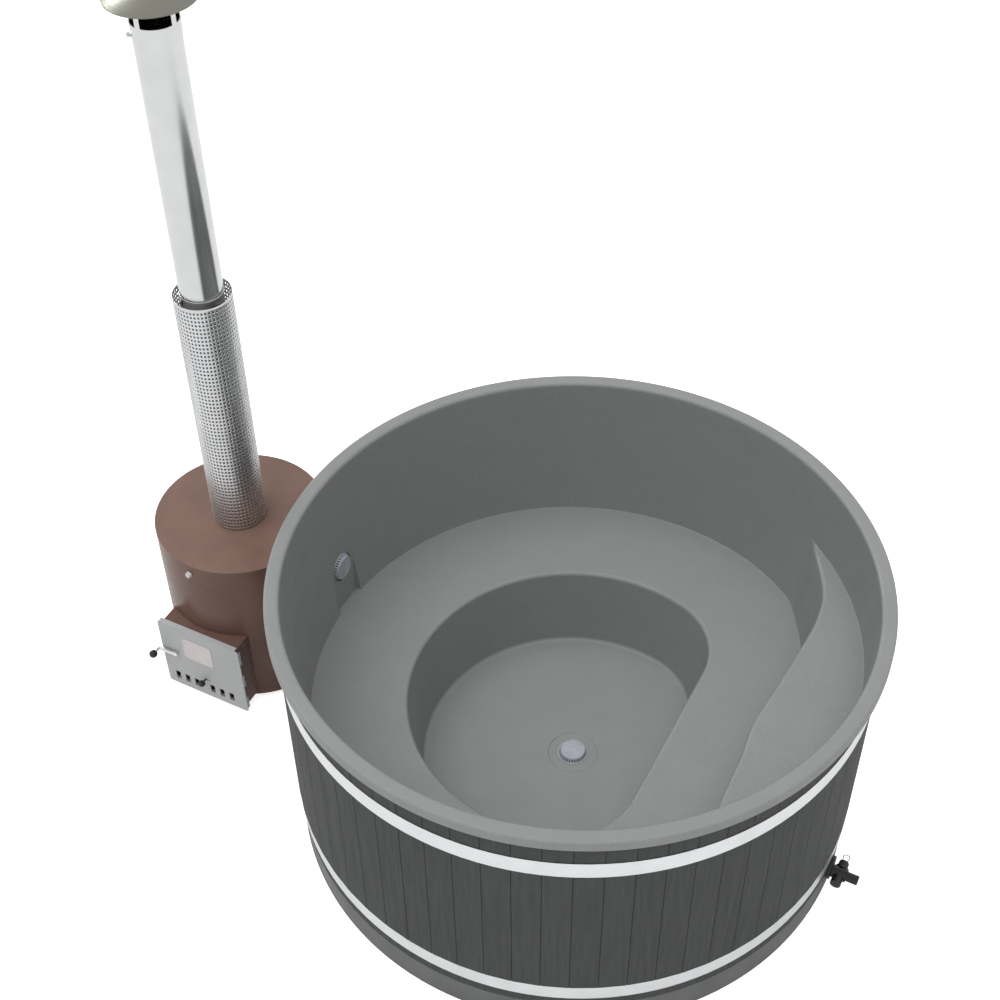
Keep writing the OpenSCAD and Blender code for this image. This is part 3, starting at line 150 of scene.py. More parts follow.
class TubColours(bpy.types.PropertyGroup):
    """Colours of the finishes"""

    liner: colour("Liner", "Moulded granite plastic", (0.268, 0.277, 0.272))
    stave: colour("Staves", "Stain on the staves", (0.069, 0.073, 0.071))
    base: colour("Base ring", "Plastic of the base ring", (0.120, 0.126, 0.123))
    stove: colour("Stove", "Paint on the stove", (0.160, 0.092, 0.072))
    stove_top: colour("Stove top", "Paint on the stove's top", (0.205, 0.125, 0.098))
    door: colour("Door", "Paint on the fire door", (0.44, 0.45, 0.45))
    steel: colour("Steel", "Bare stainless steel", (0.655, 0.665, 0.67))
    band: colour("Bands", "Stainless steel of the bands", (0.76, 0.77, 0.78))
    sleeve: colour("Lower flue", "Heated steel of the lower flue", (0.36, 0.36, 0.36))
    shield: colour("Heat shield", "Steel of the heat shield", (0.65, 0.66, 0.67))
    # Painted shade: the hat's steel colour is darkened to stand in for the darker surroundings it reflects,
    # not for any weathering of the steel.
    hat: colour("Hat", "Weathered steel of the flue's hat", (0.222, 0.222, 0.193))
    handle: colour("Handle", "Polished steel of the door handle", (0.72, 0.73, 0.74))
    slide: colour("Air slide", "Bright steel of slide and latch", (0.78, 0.78, 0.77))
    plate: colour("Plate", "Steel of the blank plate", (0.58, 0.54, 0.54))
    pipe_steel: colour("Steel pipes", "Steel of the hot pipe and the stubs", (0.45, 0.46, 0.47))
    copper: colour("Wire loop", "Copper of the valve's wire loop", (0.46, 0.22, 0.12))
    fire_box: colour("Fire box", "Sooty steel of the fire box", (0.050, 0.045, 0.042))
    grate: colour("Grate", "Cast iron of the grate", (0.035, 0.033, 0.031))
    cap: colour("Strainers", "Plastic of the strainers", (0.40, 0.41, 0.47))
    pipe: colour("Plastic pipes", "Plastic of pipes and fittings", (0.05, 0.052, 0.056))
    black: colour("Black plastic", "Valve and handle balls", (0.012, 0.013, 0.014))
    rubber: colour("Rubber", "Hoses, grommets and feet", (0.014, 0.014, 0.015))
    plug: colour("Vent plug", "Plastic of the vent plug", (0.66, 0.63, 0.61))
    seal: colour("Door seal", "Glass rope of the door seal", (0.20, 0.20, 0.19))
    foam: colour("Foam", "Hidden insulation", (0.66, 0.56, 0.34))
    timber: colour("Plain timber", "Hidden timber", (0.42, 0.29, 0.16))


class StageSettings(bpy.types.PropertyGroup):
    """Camera and light"""

    camera_place: FloatVectorProperty(name="Camera place", description="Where the camera stands",
                                      default=(0.0, -3.152, 4.3096), size=3, unit="LENGTH",
                                      subtype="TRANSLATION")
    camera_yaw: angle("Yaw", "Turn of the camera to the right", -4.03)
    camera_pitch: angle("Pitch", "Tilt of the camera downwards", 44.13)
    camera_roll: angle("Roll", "Roll of the camera", 0.87)
    camera_lens: number("Lens", "Focal length in millimetres", 57.83, 10.0)
    floor_size: length("Floor size", "Width of the pale floor", 60.0)
    floor_drop: length("Floor drop", "How far the floor lies under the base", 0.0005)
    floor_tone: number("Floor tone", "Grey value of the floor", 0.82)
    floor_lift: number("Floor lift", "Brightness added to the floor in the picture", 0.82)
    ambient: number("Ambient", "Strength of the white surroundings", 0.55)
    key: number("Key lamp", "Strength of the broad lamp overhead", 1.68)
    key_width: angle("Key width", "Width of the key lamp in the sky", 60.0)
    key_from: direction("Key direction", "Where the key lamp shines from", (-0.20, -0.16, 1.0))
    glint: number("Glint lamp", "Strength of the small lamp that catches the steel", 0.95)
    glint_width: angle("Glint width", "Width of the glint lamp in the sky", 14.0)
    glint_from: direction("Glint direction", "Where the glint lamp shines from", (-0.56, 0.655, 0.51))


class HotTubSettings(bpy.types.PropertyGroup):
    """All settings of the hot tub"""

    tub: PointerProperty(type=TubSizes)
    stove: PointerProperty(type=StoveSizes)
    colours: PointerProperty(type=TubColours)
    stage: PointerProperty(type=StageSettings)


# Materials

class Finish:
    """A procedural material on Object coordinates."""

    def __init__(self, name, base, rough, metallic=0.0, **sockets):
        self.material = bpy.data.materials.new(name)
        self.material.use_nodes = True
        self.tree = self.material.node_tree
        self.shader = self.tree.nodes["Principled BSDF"]
        self.base = tuple(base)
        self.set("Base Color", (*base, 1.0))
        self.set("Roughness", rough)
        self.set("Metallic", metallic)
        for label, value in sockets.items():
            self.set(label.replace("_", " "), value)
        self.place = self.add("ShaderNodeTexCoord").outputs["Object"]

    def set(self, label, value):
        self.shader.inputs[label].default_value = value

    def add(self, kind, settings=None, **inputs):
        node = self.tree.nodes.new(kind)
        for label, value in (settings or {}).items():
            setattr(node, label, value)
        for label, value in inputs.items():
            self.feed(node.inputs[label.replace("_", " ")], value)
        return node

    def feed(self, socket, value):
        if isinstance(value, bpy.types.NodeSocket):
            self.tree.links.new(value, socket)
        else:
            socket.default_value = value

    def stretched(self, scale, turn=(0.0, 0.0, 0.0)):
        """Object coordinates scaled apart along the three axes."""
        node = self.add("ShaderNodeMapping", Vector=self.place, Scale=scale, Rotation=turn)
        return node.outputs["Vector"]

    def noise(self, scale, detail=3.0, place=None, rough=0.5):
        node = self.add("ShaderNodeTexNoise", Vector=place or self.place, Scale=scale, Detail=detail,
                        Roughness=rough)
        return node.outputs["Fac"]

    def cells(self, scale):
        return self.add("ShaderNodeTexVoronoi", Vector=self.place, Scale=scale).outputs["Color"]

    def maths(self, operation, first, second=0.0):
        node = self.add("ShaderNodeMath", {"operation": operation})
        self.feed(node.inputs[0], first)
        self.feed(node.inputs[1], second)
        return node.outputs[0]

    def spread(self, source, low, high, to_low=0.0, to_high=1.0):
        """Maps the range low..high of source to to_low..to_high, clamped."""
        node = self.add("ShaderNodeMapRange", Value=source)
        for index, value in enumerate((low, high, to_low, to_high), 1):
            node.inputs[index].default_value = value
        return node.outputs[0]

    def blend(self, amount, first, second):
        node = self.add("ShaderNodeMix", {"data_type": "RGBA"})
        self.feed(node.inputs[0], amount)
        for index, value in ((6, first), (7, second)):
            plain = not isinstance(value, bpy.types.NodeSocket)
            self.feed(node.inputs[index], (*value, 1.0) if plain else value)
        return node.outputs[2]

    def shade(self, factor):
        """The base colour made lighter or darker by a factor."""
        return tuple(min(1.0, part * factor) for part in self.base)

    def split(self):
        return self.add("ShaderNodeSeparateXYZ", Vector=self.place).outputs

    def paint(self, source):
        self.feed(self.shader.inputs["Base Color"], source)
        return self

    def gloss(self, source):
        self.feed(self.shader.inputs["Roughness"], source)
        return self

    def bump(self, height, distance, strength=1.0):
        node = self.add("ShaderNodeBump", Height=height, Distance=distance, Strength=strength)
        self.feed(self.shader.inputs["Normal"], node.outputs["Normal"])
        return self


def granite_plastic(name, base, speck=620.0):
    """Rotation-moulded plastic with fine light and dark specks."""
    finish = Finish(name, base, 0.52, Specular_IOR_Level=0.42)
    fine = finish.noise(speck, 2.0, rough=0.65)
    cloud = finish.noise(9.0, 4.0)
    grains = finish.spread(fine, 0.36, 0.64)
    body = finish.blend(grains, finish.shade(0.80), finish.shade(1.20))
    toned = finish.blend(finish.spread(cloud, 0.35, 0.65, 0.0, 0.16), body, finish.shade(0.82))
    finish.paint(toned)
    finish.gloss(finish.spread(cloud, 0.3, 0.7, 0.46, 0.60))
    return finish.bump(fine, 0.0005, 0.35).material


def stained_timber(name, base, settings, grain=38.0):
    """Stained boards round the tub, each with its own tone and its own grain along Z."""
    finish = Finish(name, base, 0.74, Specular_IOR_Level=0.20)
    x, y, z = finish.split()
    turn = finish.maths("ARCTAN2", y, x)
    pitch = 2.0 * math.pi / settings.stave_count
    along = finish.maths("SUBTRACT", turn, settings.stave_turn)
    index = finish.maths("FLOOR", finish.maths("DIVIDE", along, pitch))
    lot = finish.add("ShaderNodeTexWhiteNoise", {"noise_dimensions": "1D"}, W=index).outputs["Value"]
    rise = finish.maths("ADD", finish.maths("MULTIPLY", z, 2.2), finish.maths("MULTIPLY", lot, 37.0))
    round_way = finish.maths("MULTIPLY", turn, grain)
    flow = finish.add("ShaderNodeCombineXYZ", X=round_way, Y=rise, Z=lot).outputs[0]
    fibre = finish.noise(2.4, 6.0, flow, 0.62)
    figure = finish.noise(0.5, 3.0, flow)
    tone = finish.blend(finish.spread(fibre, 0.32, 0.68), finish.shade(0.88), finish.shade(1.10))
    tone = finish.blend(finish.spread(figure, 0.4, 0.7, 0.0, 0.22), tone, finish.shade(0.80))
    tone = finish.blend(finish.maths("MULTIPLY", lot, 0.30), tone, finish.shade(1.16))
    finish.paint(tone)
    finish.gloss(finish.spread(fibre, 0.3, 0.7, 0.80, 0.68))
    return finish.bump(fibre, 0.0007, 0.4).material


def plain_timber(name, base):
    """Sawn softwood with its grain along X."""
    finish = Finish(name, base, 0.75)
    fibre = finish.noise(5.0, 5.0, finish.stretched((1.0, 14.0, 14.0)), 0.6)
    finish.paint(finish.blend(finish.spread(fibre, 0.3, 0.7), finish.shade(0.70), finish.shade(1.18)))
    return finish.bump(fibre, 0.0008, 0.5).material


def steel_sheet(name, base, rough, stretch, scale=3.0, wear=0.10):
    """Rolled or brushed steel; stretch gives the direction of its fine lines."""
    finish = Finish(name, base, rough, 1.0)
    lines = finish.noise(scale, 5.0, finish.stretched(stretch), 0.6)
    cloud = finish.noise(14.0, 3.0)
    worn = finish.spread(cloud, 0.35, 0.7, 0.0, 0.5)
    finish.paint(finish.blend(worn, finish.shade(1.03), finish.shade(0.90)))
    finish.gloss(finish.spread(lines, 0.3, 0.7, rough - wear / 2, rough + wear))
    return finish.bump(lines, 0.0002, 0.25).material


def painted_steel(name, base, rough=0.38, mottled=0.10, specular=0.3):
    """Sprayed heat-proof paint with a faint orange-peel skin."""
    finish = Finish(name, base, rough, Specular_IOR_Level=specular)
    peel = finish.noise(260.0, 2.0)
    cloud = finish.noise(6.0, 4.0)
    patches = finish.spread(cloud, 0.35, 0.65)
    finish.paint(finish.blend(patches, finish.shade(1.0 - mottled), finish.shade(1.0 + mottled)))
    finish.gloss(finish.spread(cloud, 0.3, 0.7, rough - 0.05, rough + 0.08))
    return finish.bump(peel, 0.0002, 0.30).material


def moulded_plastic(name, base, rough=0.40, grain=500.0):
    """Injection-moulded plastic with a fine spark-eroded skin."""
    finish = Finish(name, base, rough, Specular_IOR_Level=0.45)
    skin = finish.noise(grain, 2.0)
    cloud = finish.noise(30.0, 3.0)
    finish.paint(finish.blend(finish.spread(cloud, 0.3, 0.7), finish.shade(0.90), finish.shade(1.10)))
    finish.gloss(finish.spread(cloud, 0.3, 0.7, rough - 0.04, rough + 0.06))
    return finish.bump(skin, 0.0002, 0.25).material


def rough_iron(name, base, rough=0.80):
    """Cast iron or sooty steel."""
    finish = Finish(name, base, rough, 0.3)
    pits = finish.noise(120.0, 5.0)
    soot = finish.noise(11.0, 4.0)
    finish.paint(finish.blend(finish.spread(soot, 0.3, 0.7), finish.shade(0.55), finish.shade(1.25)))
    return finish.bump(pits, 0.0008, 0.6).material


def foam_block(name, base):
    """Cut insulation foam with open pores."""
    finish = Finish(name, base, 0.95)
    pores = finish.cells(160.0)
    finish.paint(finish.blend(finish.spread(pores, 0.1, 0.9), finish.shade(0.82), finish.shade(1.10)))
    return finish.bump(pores, 0.002, 0.6).material


def rope_seal(name, base):
    """Plaited glass rope."""
    finish = Finish(name, base, 0.95)
    plait = finish.noise(240.0, 3.0, finish.stretched((1.0, 1.0, 0.35), (0.0, 0.0, 0.7)))
    finish.paint(finish.blend(finish.spread(plait, 0.35, 0.65), finish.shade(0.60), finish.shade(1.25)))
    return finish.bump(plait, 0.001, 0.7).material


def dress(material, *nodes):
    """Gives CAD nodes a finish in their own slots."""
    for node in nodes:
        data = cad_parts[node].data
        if data.materials:
            for index in range(len(data.materials)):
                data.materials[index] = material
        else:
            data.materials.append(material)


# Mesh helpers

WELD = 0.00001


def to_object(mesh, name):
    """A linked object that holds the bmesh, which is freed."""
    data = bpy.data.meshes.new(name)
    mesh.to_mesh(data)
    mesh.free()
    thing = bpy.data.objects.new(name, data)
    bpy.context.scene.collection.objects.link(thing)
    return thing


def discard(thing):
    """Removes an object and its mesh."""
    data = thing.data
    bpy.data.objects.remove(thing)
    bpy.data.meshes.remove(data)


def finish_piece(mesh, name, material, node, smooth=32.0, body="tub"):
    """Turns a bmesh into a piece of the object that stands for a CAD node."""
    piece = to_object(mesh, name)
    data = piece.data
    data.materials.append(material)
    data.polygons.foreach_set("use_smooth", [True] * len(data.polygons))
    data.set_sharp_from_angle(angle=math.radians(smooth))
    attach(piece, body)
    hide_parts(node)
    return piece


def outline(mesh, points, z):
    """A closed ring of vertices through the points, with its edges."""
    verts = [mesh.verts.new((x, y, z)) for x, y in points]
    edges = [mesh.edges.new((verts[i - 1], verts[i])) for i in range(len(verts))]
    return verts, edges


def loft(mesh, rings):
    """A closed solid through rings of as many points, each (points, z)."""
    made = [outline(mesh, points, z) for points, z in rings]
    for (_, low), (_, high) in zip(made, made[1:]):
        bmesh.ops.bridge_loops(mesh, edges=low + high)
    for _, edges in (made[0], made[-1]):
        bmesh.ops.edgenet_fill(mesh, edges=edges)
    bmesh.ops.recalc_face_normals(mesh, faces=mesh.faces)


def join(target, tool):
    """Joins the tool into the target by an exact boolean, and removes the tool."""
    modifier = target.modifiers.new("join", "BOOLEAN")
    modifier.operation = "UNION"
    modifier.solver = "EXACT"
    modifier.object = tool
    graph = bpy.context.evaluated_depsgraph_get()
    data = bpy.data.meshes.new_from_object(target.evaluated_get(graph))
    target.modifiers.clear()
    old = target.data
    target.data = data
    bpy.data.meshes.remove(old)
    discard(tool)


def solid(name, build):
    """A loose object from a function that fills a bmesh."""
    mesh = bmesh.new()
    build(mesh)
    return to_object(mesh, name)


def smooth_line(points, steps):
    """A Catmull-Rom line through the points."""
    line = []
    for i in range(len(points) - 1):
        p0, p1, p2 = points[max(i - 1, 0)], points[i], points[i + 1]
        p3 = points[min(i + 2, len(points) - 1)]
        for k in range(steps):
            t = k / steps
            point = []
            for a, b, c, d in zip(p0, p1, p2, p3):
                square, cube = 2 * a - 5 * b + 4 * c - d, 3 * b - a - 3 * c + d
                point.append(0.5 * (2 * b + (c - a) * t + square * t * t + cube * t ** 3))
            line.append(tuple(point))
    line.append(points[-1])
    return line


# Liner

# Edge of the step as shares of the wall's radius at the seat, from the back to the front
STEP_SHARES = [(0.69, 0.81), (0.781, 0.653), (0.848, 0.530), (0.858, 0.437), (0.868, 0.346),
               (0.872, 0.272), (0.867, 0.21), (0.853, 0.157), (0.834, 0.101), (0.81, 0.048),
               (0.757, -0.054), (0.673, -0.21), (0.628, -0.288), (0.59, -0.363), (0.565, -0.435),
               (0.546, -0.495), (0.505, -0.594), (0.468, -0.693), (0.396, -0.92), (0.355, -1.05)]
STEP_DRAFT_SHARE = 1.05
STEP_LINE_STEPS = 6
WELL_FACING = math.radians(-24.0)
CORNER_STEPS, ROUND_STEPS, BEND_STEPS = 16, 128, 4
BEND_LIMIT_SHARE = 0.42     # the most of a straight run that one bend takes up
COVE_SHARE = 0.2            # rounding of the inner corners as a share of the moulded edges'
FACE_SHARES = (0.2, 0.5, 0.8)
WALL_SHARES = (0.2, 0.4, 0.6, 0.8)

# Helpers for the liner's booleans
INNER_LIMIT = 0.2
LID_REACH, LID_RISE = 0.02, 0.1
ARCH_STEPS, HOLLOW_DEPTH = 32, 0.1
SEAT_STEPS, SEAT_DEPTH = 64, 0.05


def well_points(radius, side, corner):
    """A circle with one straight side and two rounded corners."""
    reach = math.acos((side - corner) / (radius - corner))
    points = []

    def arc(cx, cy, r, start, end, steps):
        for k in range(steps + 1):
            a = start + (end - start) * k / steps
            points.append((cx + r * math.cos(a), cy + r * math.sin(a)))

    for sign in (1, -1):
        turn = WELL_FACING + sign * reach
        cx, cy = (radius - corner) * math.cos(turn), (radius - corner) * math.sin(turn)
        if sign > 0:
            arc(cx, cy, corner, WELL_FACING, turn, CORNER_STEPS)
            arc(0.0, 0.0, radius, turn, WELL_FACING - reach + 2 * math.pi, ROUND_STEPS)
        else:
            arc(cx, cy, corner, turn, WELL_FACING, CORNER_STEPS)
    return points


def reach_of(points, angle, closed):
    """How far a ray from the origin at the angle goes to the line through the points, or None."""
    ahead = Vector((math.cos(angle), math.sin(angle)))
    across = Vector((-ahead.y, ahead.x))
    best = None
    for index in range(0 if closed else 1, len(points)):
        a, b = Vector(points[index - 1]), Vector(points[index])
        side_a, side_b = a.dot(across), b.dot(across)
        if side_a * side_b > 0 or side_a == side_b:
            continue
        hit = a.lerp(b, side_a / (side_a - side_b)).dot(ahead)
        if hit > 0 and (best is None or hit < best):
            best = hit
    return best


def rounded(corners, steps):
    """The line through (point, tangent length) corners, with each corner bent to a soft curve."""
    line = [corners[0][0]]
    for (before, _), (point, size), (after, _) in zip(corners, corners[1:], corners[2:]):
        if not size:
            line.append(point)
            continue
        back, on = before - point, after - point
        a = point + back.normalized() * min(size, BEND_LIMIT_SHARE * back.length)
        b = point + on.normalized() * min(size, BEND_LIMIT_SHARE * on.length)
        for k in range(steps + 1):
            t = k / steps
            line.append(a * (1 - t) ** 2 + point * 2 * t * (1 - t) + b * t ** 2)
    return line + [corners[-1][0]]


def soft_least(first, second, band):
    """The smaller of two values, rounded where they come within a band."""
    near = max(band - abs(first - second), 0.0) / band
    return min(first, second) - near * near * band / 4


class HOTTUB_OT_liner(bpy.types.Operator):
    """Moulds the liner: rim, leaning wall, seat, entry step, foot well, drain recess and inlet hollow"""

    bl_idname = "hottub.liner"
    bl_label = "Mould the liner"

    def execute(self, context):
        tub = context.scene.hot_tub.tub
        mesh = bmesh.new()
        self.surface(mesh, tub)
        self.close(mesh, tub)
        liner = to_object(mesh, "liner_inside")
        join(liner, solid("inlet_hollow", lambda tool: self.hollow(tool, tub)))
        join(liner, solid("inlet_seat", lambda tool: self.seat(tool, tub)))
        mesh = bmesh.new()
        mesh.from_mesh(liner.data)
        discard(liner)
        outside = tub.rim_radius + LID_REACH / 4
        lid = [face for face in mesh.faces if any(vert.co.xy.length > outside for vert in face.verts)]
        bmesh.ops.delete(mesh, geom=lid, context="FACES")
        bmesh.ops.reverse_faces(mesh, faces=mesh.faces)
        material = granite_plastic("granite_liner", context.scene.hot_tub.colours.liner)
        piece = finish_piece(mesh, "moulded_liner", material, "tub_liner")
        shell = piece.modifiers.new("shell", "SOLIDIFY")
        shell.thickness = tub.shell
        shell.offset = -1.0
        flat = piece.modifiers.new("flat", "WEIGHTED_NORMAL")
        flat.keep_sharp = True
        return {"FINISHED"}

    def wall(self, tub, z):
        """Radius of the bowed wall at a height."""
        share = (tub.rim_height - z) / (tub.rim_height - tub.seat_height)
        return tub.rim_radius - tub.rim_width - tub.wall_lean * max(share, 0.0) ** tub.wall_bow

    def column(self, tub, angle, shapes):
        """The liner's line from the drain out to the rim's lip, in one direction."""
        floor_line, top_line, step_line = shapes
        seat_radius = self.wall(tub, tub.seat_height)

        def well(radius, z):
            return Vector((radius * math.cos(angle), radius * math.sin(angle) - tub.well_shift, z))

        def round_tub(radius, z):
            return Vector((radius * math.cos(angle), radius * math.sin(angle), z))

        edge = reach_of(step_line, angle, False)
        edge = 2 * seat_radius if edge is None else edge
        rise = tub.step_height - tub.seat_height

        def front(z):
            drafted = edge * (1 + (STEP_DRAFT_SHARE - 1) * (z - tub.seat_height) / rise)
            band = tub.step_blend + tub.step_foot_blend * (tub.step_height - z) / rise
            return soft_least(self.wall(tub, z), drafted, max(band, tub.step_blend))

        ledge = self.wall(tub, tub.step_height) - front(tub.step_height)
        spread = tub.step_fade * (1 - min(max(ledge / tub.step_fade, 0.0), 1.0))
        step_low, step_high = tub.step_height - spread, tub.step_height + spread
        rim_inner = tub.rim_radius - tub.rim_width
        lip = tub.rim_height - tub.lip_drop
        recess_floor = tub.floor_height - tub.recess_depth
        cove = COVE_SHARE * tub.edge_round
        corners = [(well(tub.drain_hole, recess_floor), 0.0),
                   (well(tub.recess_radius - tub.recess_slope, recess_floor), tub.fine_round),
                   (well(tub.recess_radius, tub.floor_height), tub.fine_round),
                   (well(reach_of(floor_line, angle, True), tub.floor_height), tub.edge_round),
                   (well(reach_of(top_line, angle, True), tub.seat_height), tub.edge_round),
                   (round_tub(front(tub.seat_height), tub.seat_height), cove)]
        for share in FACE_SHARES:
            z = tub.seat_height + share * (step_low - tub.seat_height)
            corners.append((round_tub(front(z), z), 0.0))
        corners.append((round_tub(front(step_low), step_low), tub.edge_round))
        corners.append((round_tub(self.wall(tub, step_high), step_high), cove))
        for share in WALL_SHARES:
            z = step_high + share * (tub.rim_height - step_high)
            corners.append((round_tub(self.wall(tub, z), z), 0.0))
        corners += [(round_tub(rim_inner, tub.rim_height), tub.edge_round),
                    (round_tub(tub.rim_radius, tub.rim_height), tub.rim_round),
                    (round_tub(tub.rim_radius, lip), tub.fine_round),
                    (round_tub(tub.rim_radius - tub.lip_turn, lip), 0.0)]
        return rounded(corners, BEND_STEPS)

    def surface(self, mesh, tub):
        """A grid rolled up round the tub's axis, each column along its own line."""
        seat_radius = self.wall(tub, tub.seat_height)
        shapes = (well_points(tub.well_floor, tub.side_floor, tub.well_corner),
                  well_points(tub.well_top, tub.side_top, tub.well_corner),
                  smooth_line([(x * seat_radius, y * seat_radius) for x, y in STEP_SHARES], STEP_LINE_STEPS))
        turns = tub.liner_columns
        columns = [self.column(tub, 2 * math.pi * k / turns, shapes) for k in range(turns)]
        rows = len(columns[0])
        bmesh.ops.create_grid(mesh, x_segments=turns, y_segments=rows - 1, size=1.0)
        for vert in mesh.verts:
            column = round((vert.co.x + 1) / 2 * turns) % turns
            row = round((vert.co.y + 1) / 2 * (rows - 1))
            vert.co = columns[column][row]
        bmesh.ops.remove_doubles(mesh, verts=mesh.verts, dist=WELD)

    def close(self, mesh, tub):
        """Closes the drain end and sets a lid round and over the lip, so that booleans see a closed body."""
        def ring(inner):
            return [edge for edge in mesh.edges if len(edge.link_faces) == 1
                    and (edge.verts[0].co.xy.length < INNER_LIMIT) == inner]

        bmesh.ops.edgenet_fill(mesh, edges=ring(True))
        for z in (tub.rim_height - 2 * tub.lip_drop, tub.rim_height + LID_RISE):
            for vert in bmesh.ops.extrude_edge_only(mesh, edges=ring(False))["geom"]:
                if isinstance(vert, bmesh.types.BMVert):
                    vert.co.xy = vert.co.xy.normalized() * (tub.rim_radius + LID_REACH)
                    vert.co.z = z
        bmesh.ops.edgenet_fill(mesh, edges=ring(False))
        bmesh.ops.recalc_face_normals(mesh, faces=mesh.faces)

    def hollow(self, mesh, tub):
        """The arched hollow with splayed sides and a flat back."""
        rise = tub.hollow_height - tub.seat_height
        rings = []
        turns = [math.pi * k / ARCH_STEPS for k in range(ARCH_STEPS + 1)]
        for depth in (HOLLOW_DEPTH, 0.0):
            half = tub.hollow_width / 2 + tub.hollow_splay * depth
            arch = [(half * math.cos(turn), half * math.sin(turn)) for turn in turns]
            rings.append((arch + [(-half, -rise), (half, -rise)], tub.hollow_reach - depth))
        loft(mesh, rings)
        self.aim(mesh, tub)

    def seat(self, mesh, tub):
        """The round seat that the inlet's strainer stands on."""
        bmesh.ops.create_cone(mesh, cap_ends=True, segments=SEAT_STEPS, radius1=tub.seat_round,
                              radius2=tub.seat_round, depth=SEAT_DEPTH)
        bmesh.ops.translate(mesh, verts=mesh.verts, vec=(0.0, 0.0, tub.seat_reach - SEAT_DEPTH / 2))
        self.aim(mesh, tub)

    def aim(self, mesh, tub):
        """Turns a tool built along Z to the hot inlet's direction and height."""
        out = Vector((math.cos(tub.hollow_turn), math.sin(tub.hollow_turn), 0.0))
        side = Vector((-out.y, out.x, 0.0))
        turn = Matrix((side, Vector((0, 0, 1)), out)).transposed().to_4x4()
        place = Matrix.Translation((0, 0, tub.hollow_height)) @ turn
        bmesh.ops.transform(mesh, matrix=place, verts=mesh.verts)


# Cladding and base

class HOTTUB_OT_cladding(bpy.types.Operator):
    """Finishes the staves, bands, base and the hidden timber and foam"""

    bl_idname = "hottub.cladding"
    bl_label = "Finish the cladding"

    def execute(self, context):
        settings = context.scene.hot_tub
        colours = settings.colours
        dress(stained_timber("stained_staves", colours.stave, settings.tub),
              "staves_back", "staves_left", "staves_front", "staves_right")
        dress(steel_sheet("band_steel", colours.band, 0.30, (3.0, 3.0, 90.0)), "upper_band", "lower_band")
        dress(steel_sheet("bolt_steel", colours.steel, 0.28, (20.0, 20.0, 20.0)),
              "band_bolts", "band_nuts", "hose_clamps", "hinge_pins", "cap_bolt")
        dress(granite_plastic("base_plastic", colours.base), "base_ring")
        dress(plain_timber("plain_timber", colours.timber),
              "base_board", "floor_bearers", "seat_ribs", "step_posts")
        dress(foam_block("cut_foam", colours.foam), "wall_foam", "floor_foam")
        return {"FINISHED"}


class HOTTUB_OT_fittings(bpy.types.Operator):
    """Finishes the strainers, pipes, hoses and the drain valve"""

    bl_idname = "hottub.fittings"
    bl_label = "Finish the water fittings"

    def execute(self, context):
        colours = context.scene.hot_tub.colours
        dress(moulded_plastic("strainer_plastic", colours.cap, 0.34),
              "floor_drain_strainer", "hot_inlet_strainer", "cold_outlet_strainer")
        dress(moulded_plastic("pipe_plastic", colours.pipe, 0.5),
              "fitting_bodies", "fitting_nuts", "drain_pipe", "cold_pipe")
        dress(steel_sheet("pipe_steel", colours.pipe_steel, 0.35, (8.0, 8.0, 8.0)), "hot_pipe", "stove_stubs")
        dress(moulded_plastic("hose_rubber", colours.rubber, 0.62, 260.0),
              "hoses", "wall_grommets", "stove_feet")
        dress(moulded_plastic("valve_plastic", colours.black, 0.36),
              "drain_valve_flange", "drain_valve_body", "drain_valve_knob")
        dress(steel_sheet("valve_plug_steel", colours.steel, 0.18, (30.0, 30.0, 30.0)), "drain_valve_plug")
        copper = steel_sheet("loop_copper", colours.copper, 0.30, (40.0, 40.0, 40.0))
        self.pull_loop(context.scene.hot_tub.tub, copper)
        return {"FINISHED"}

    def pull_loop(self, tub, copper):
        """Draws the valve's wire loop out along the knob's axis, and spreads it."""
        mesh = bmesh.new()
        mesh.from_mesh(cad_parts["drain_valve_loop"].data)
        bmesh.ops.remove_doubles(mesh, verts=mesh.verts, dist=WELD)
        turn = Matrix.Rotation(tub.valve_turn, 4, "Z")
        bmesh.ops.transform(mesh, matrix=turn.inverted(), verts=mesh.verts)
        foot = min(vert.co.y for vert in mesh.verts)
        middle = sum((vert.co for vert in mesh.verts), Vector()) / len(mesh.verts)
        far = [vert for vert in mesh.verts if vert.co.y > foot + tub.loop_hold]
        bmesh.ops.translate(mesh, verts=far, vec=(0.0, tub.loop_rise, 0.0))
        bmesh.ops.scale(mesh, verts=far, vec=(tub.loop_spread, 1.0, tub.loop_spread),
                        space=Matrix.Translation(-middle))
        bmesh.ops.transform(mesh, matrix=turn, verts=mesh.verts)
        finish_piece(mesh, "valve_wire_loop", copper, "drain_valve_loop", body="drain_knob")


class HOTTUB_OT_stove(bpy.types.Operator):
    """Finishes the stove, its fire box and its vent plug"""

    bl_idname = "hottub.stove"
    bl_label = "Finish the stove"

    def execute(self, context):
        colours = context.scene.hot_tub.colours
        dress(painted_steel("stove_paint", colours.stove, 0.28, specular=0.16),
              "stove_shell", "stove_bottom", "door_neck")
        dress(painted_steel("stove_top_paint", colours.stove_top, 0.40, specular=0.2), "stove_top")
        dress(rough_iron("sooty_steel", colours.fire_box), "fire_box")
        dress(rough_iron("cast_grate", colours.grate, 0.7), "fire_grate")
        dress(moulded_plastic("vent_plug_cap", colours.plug, 0.45), "vent_plug")
        return {"FINISHED"}


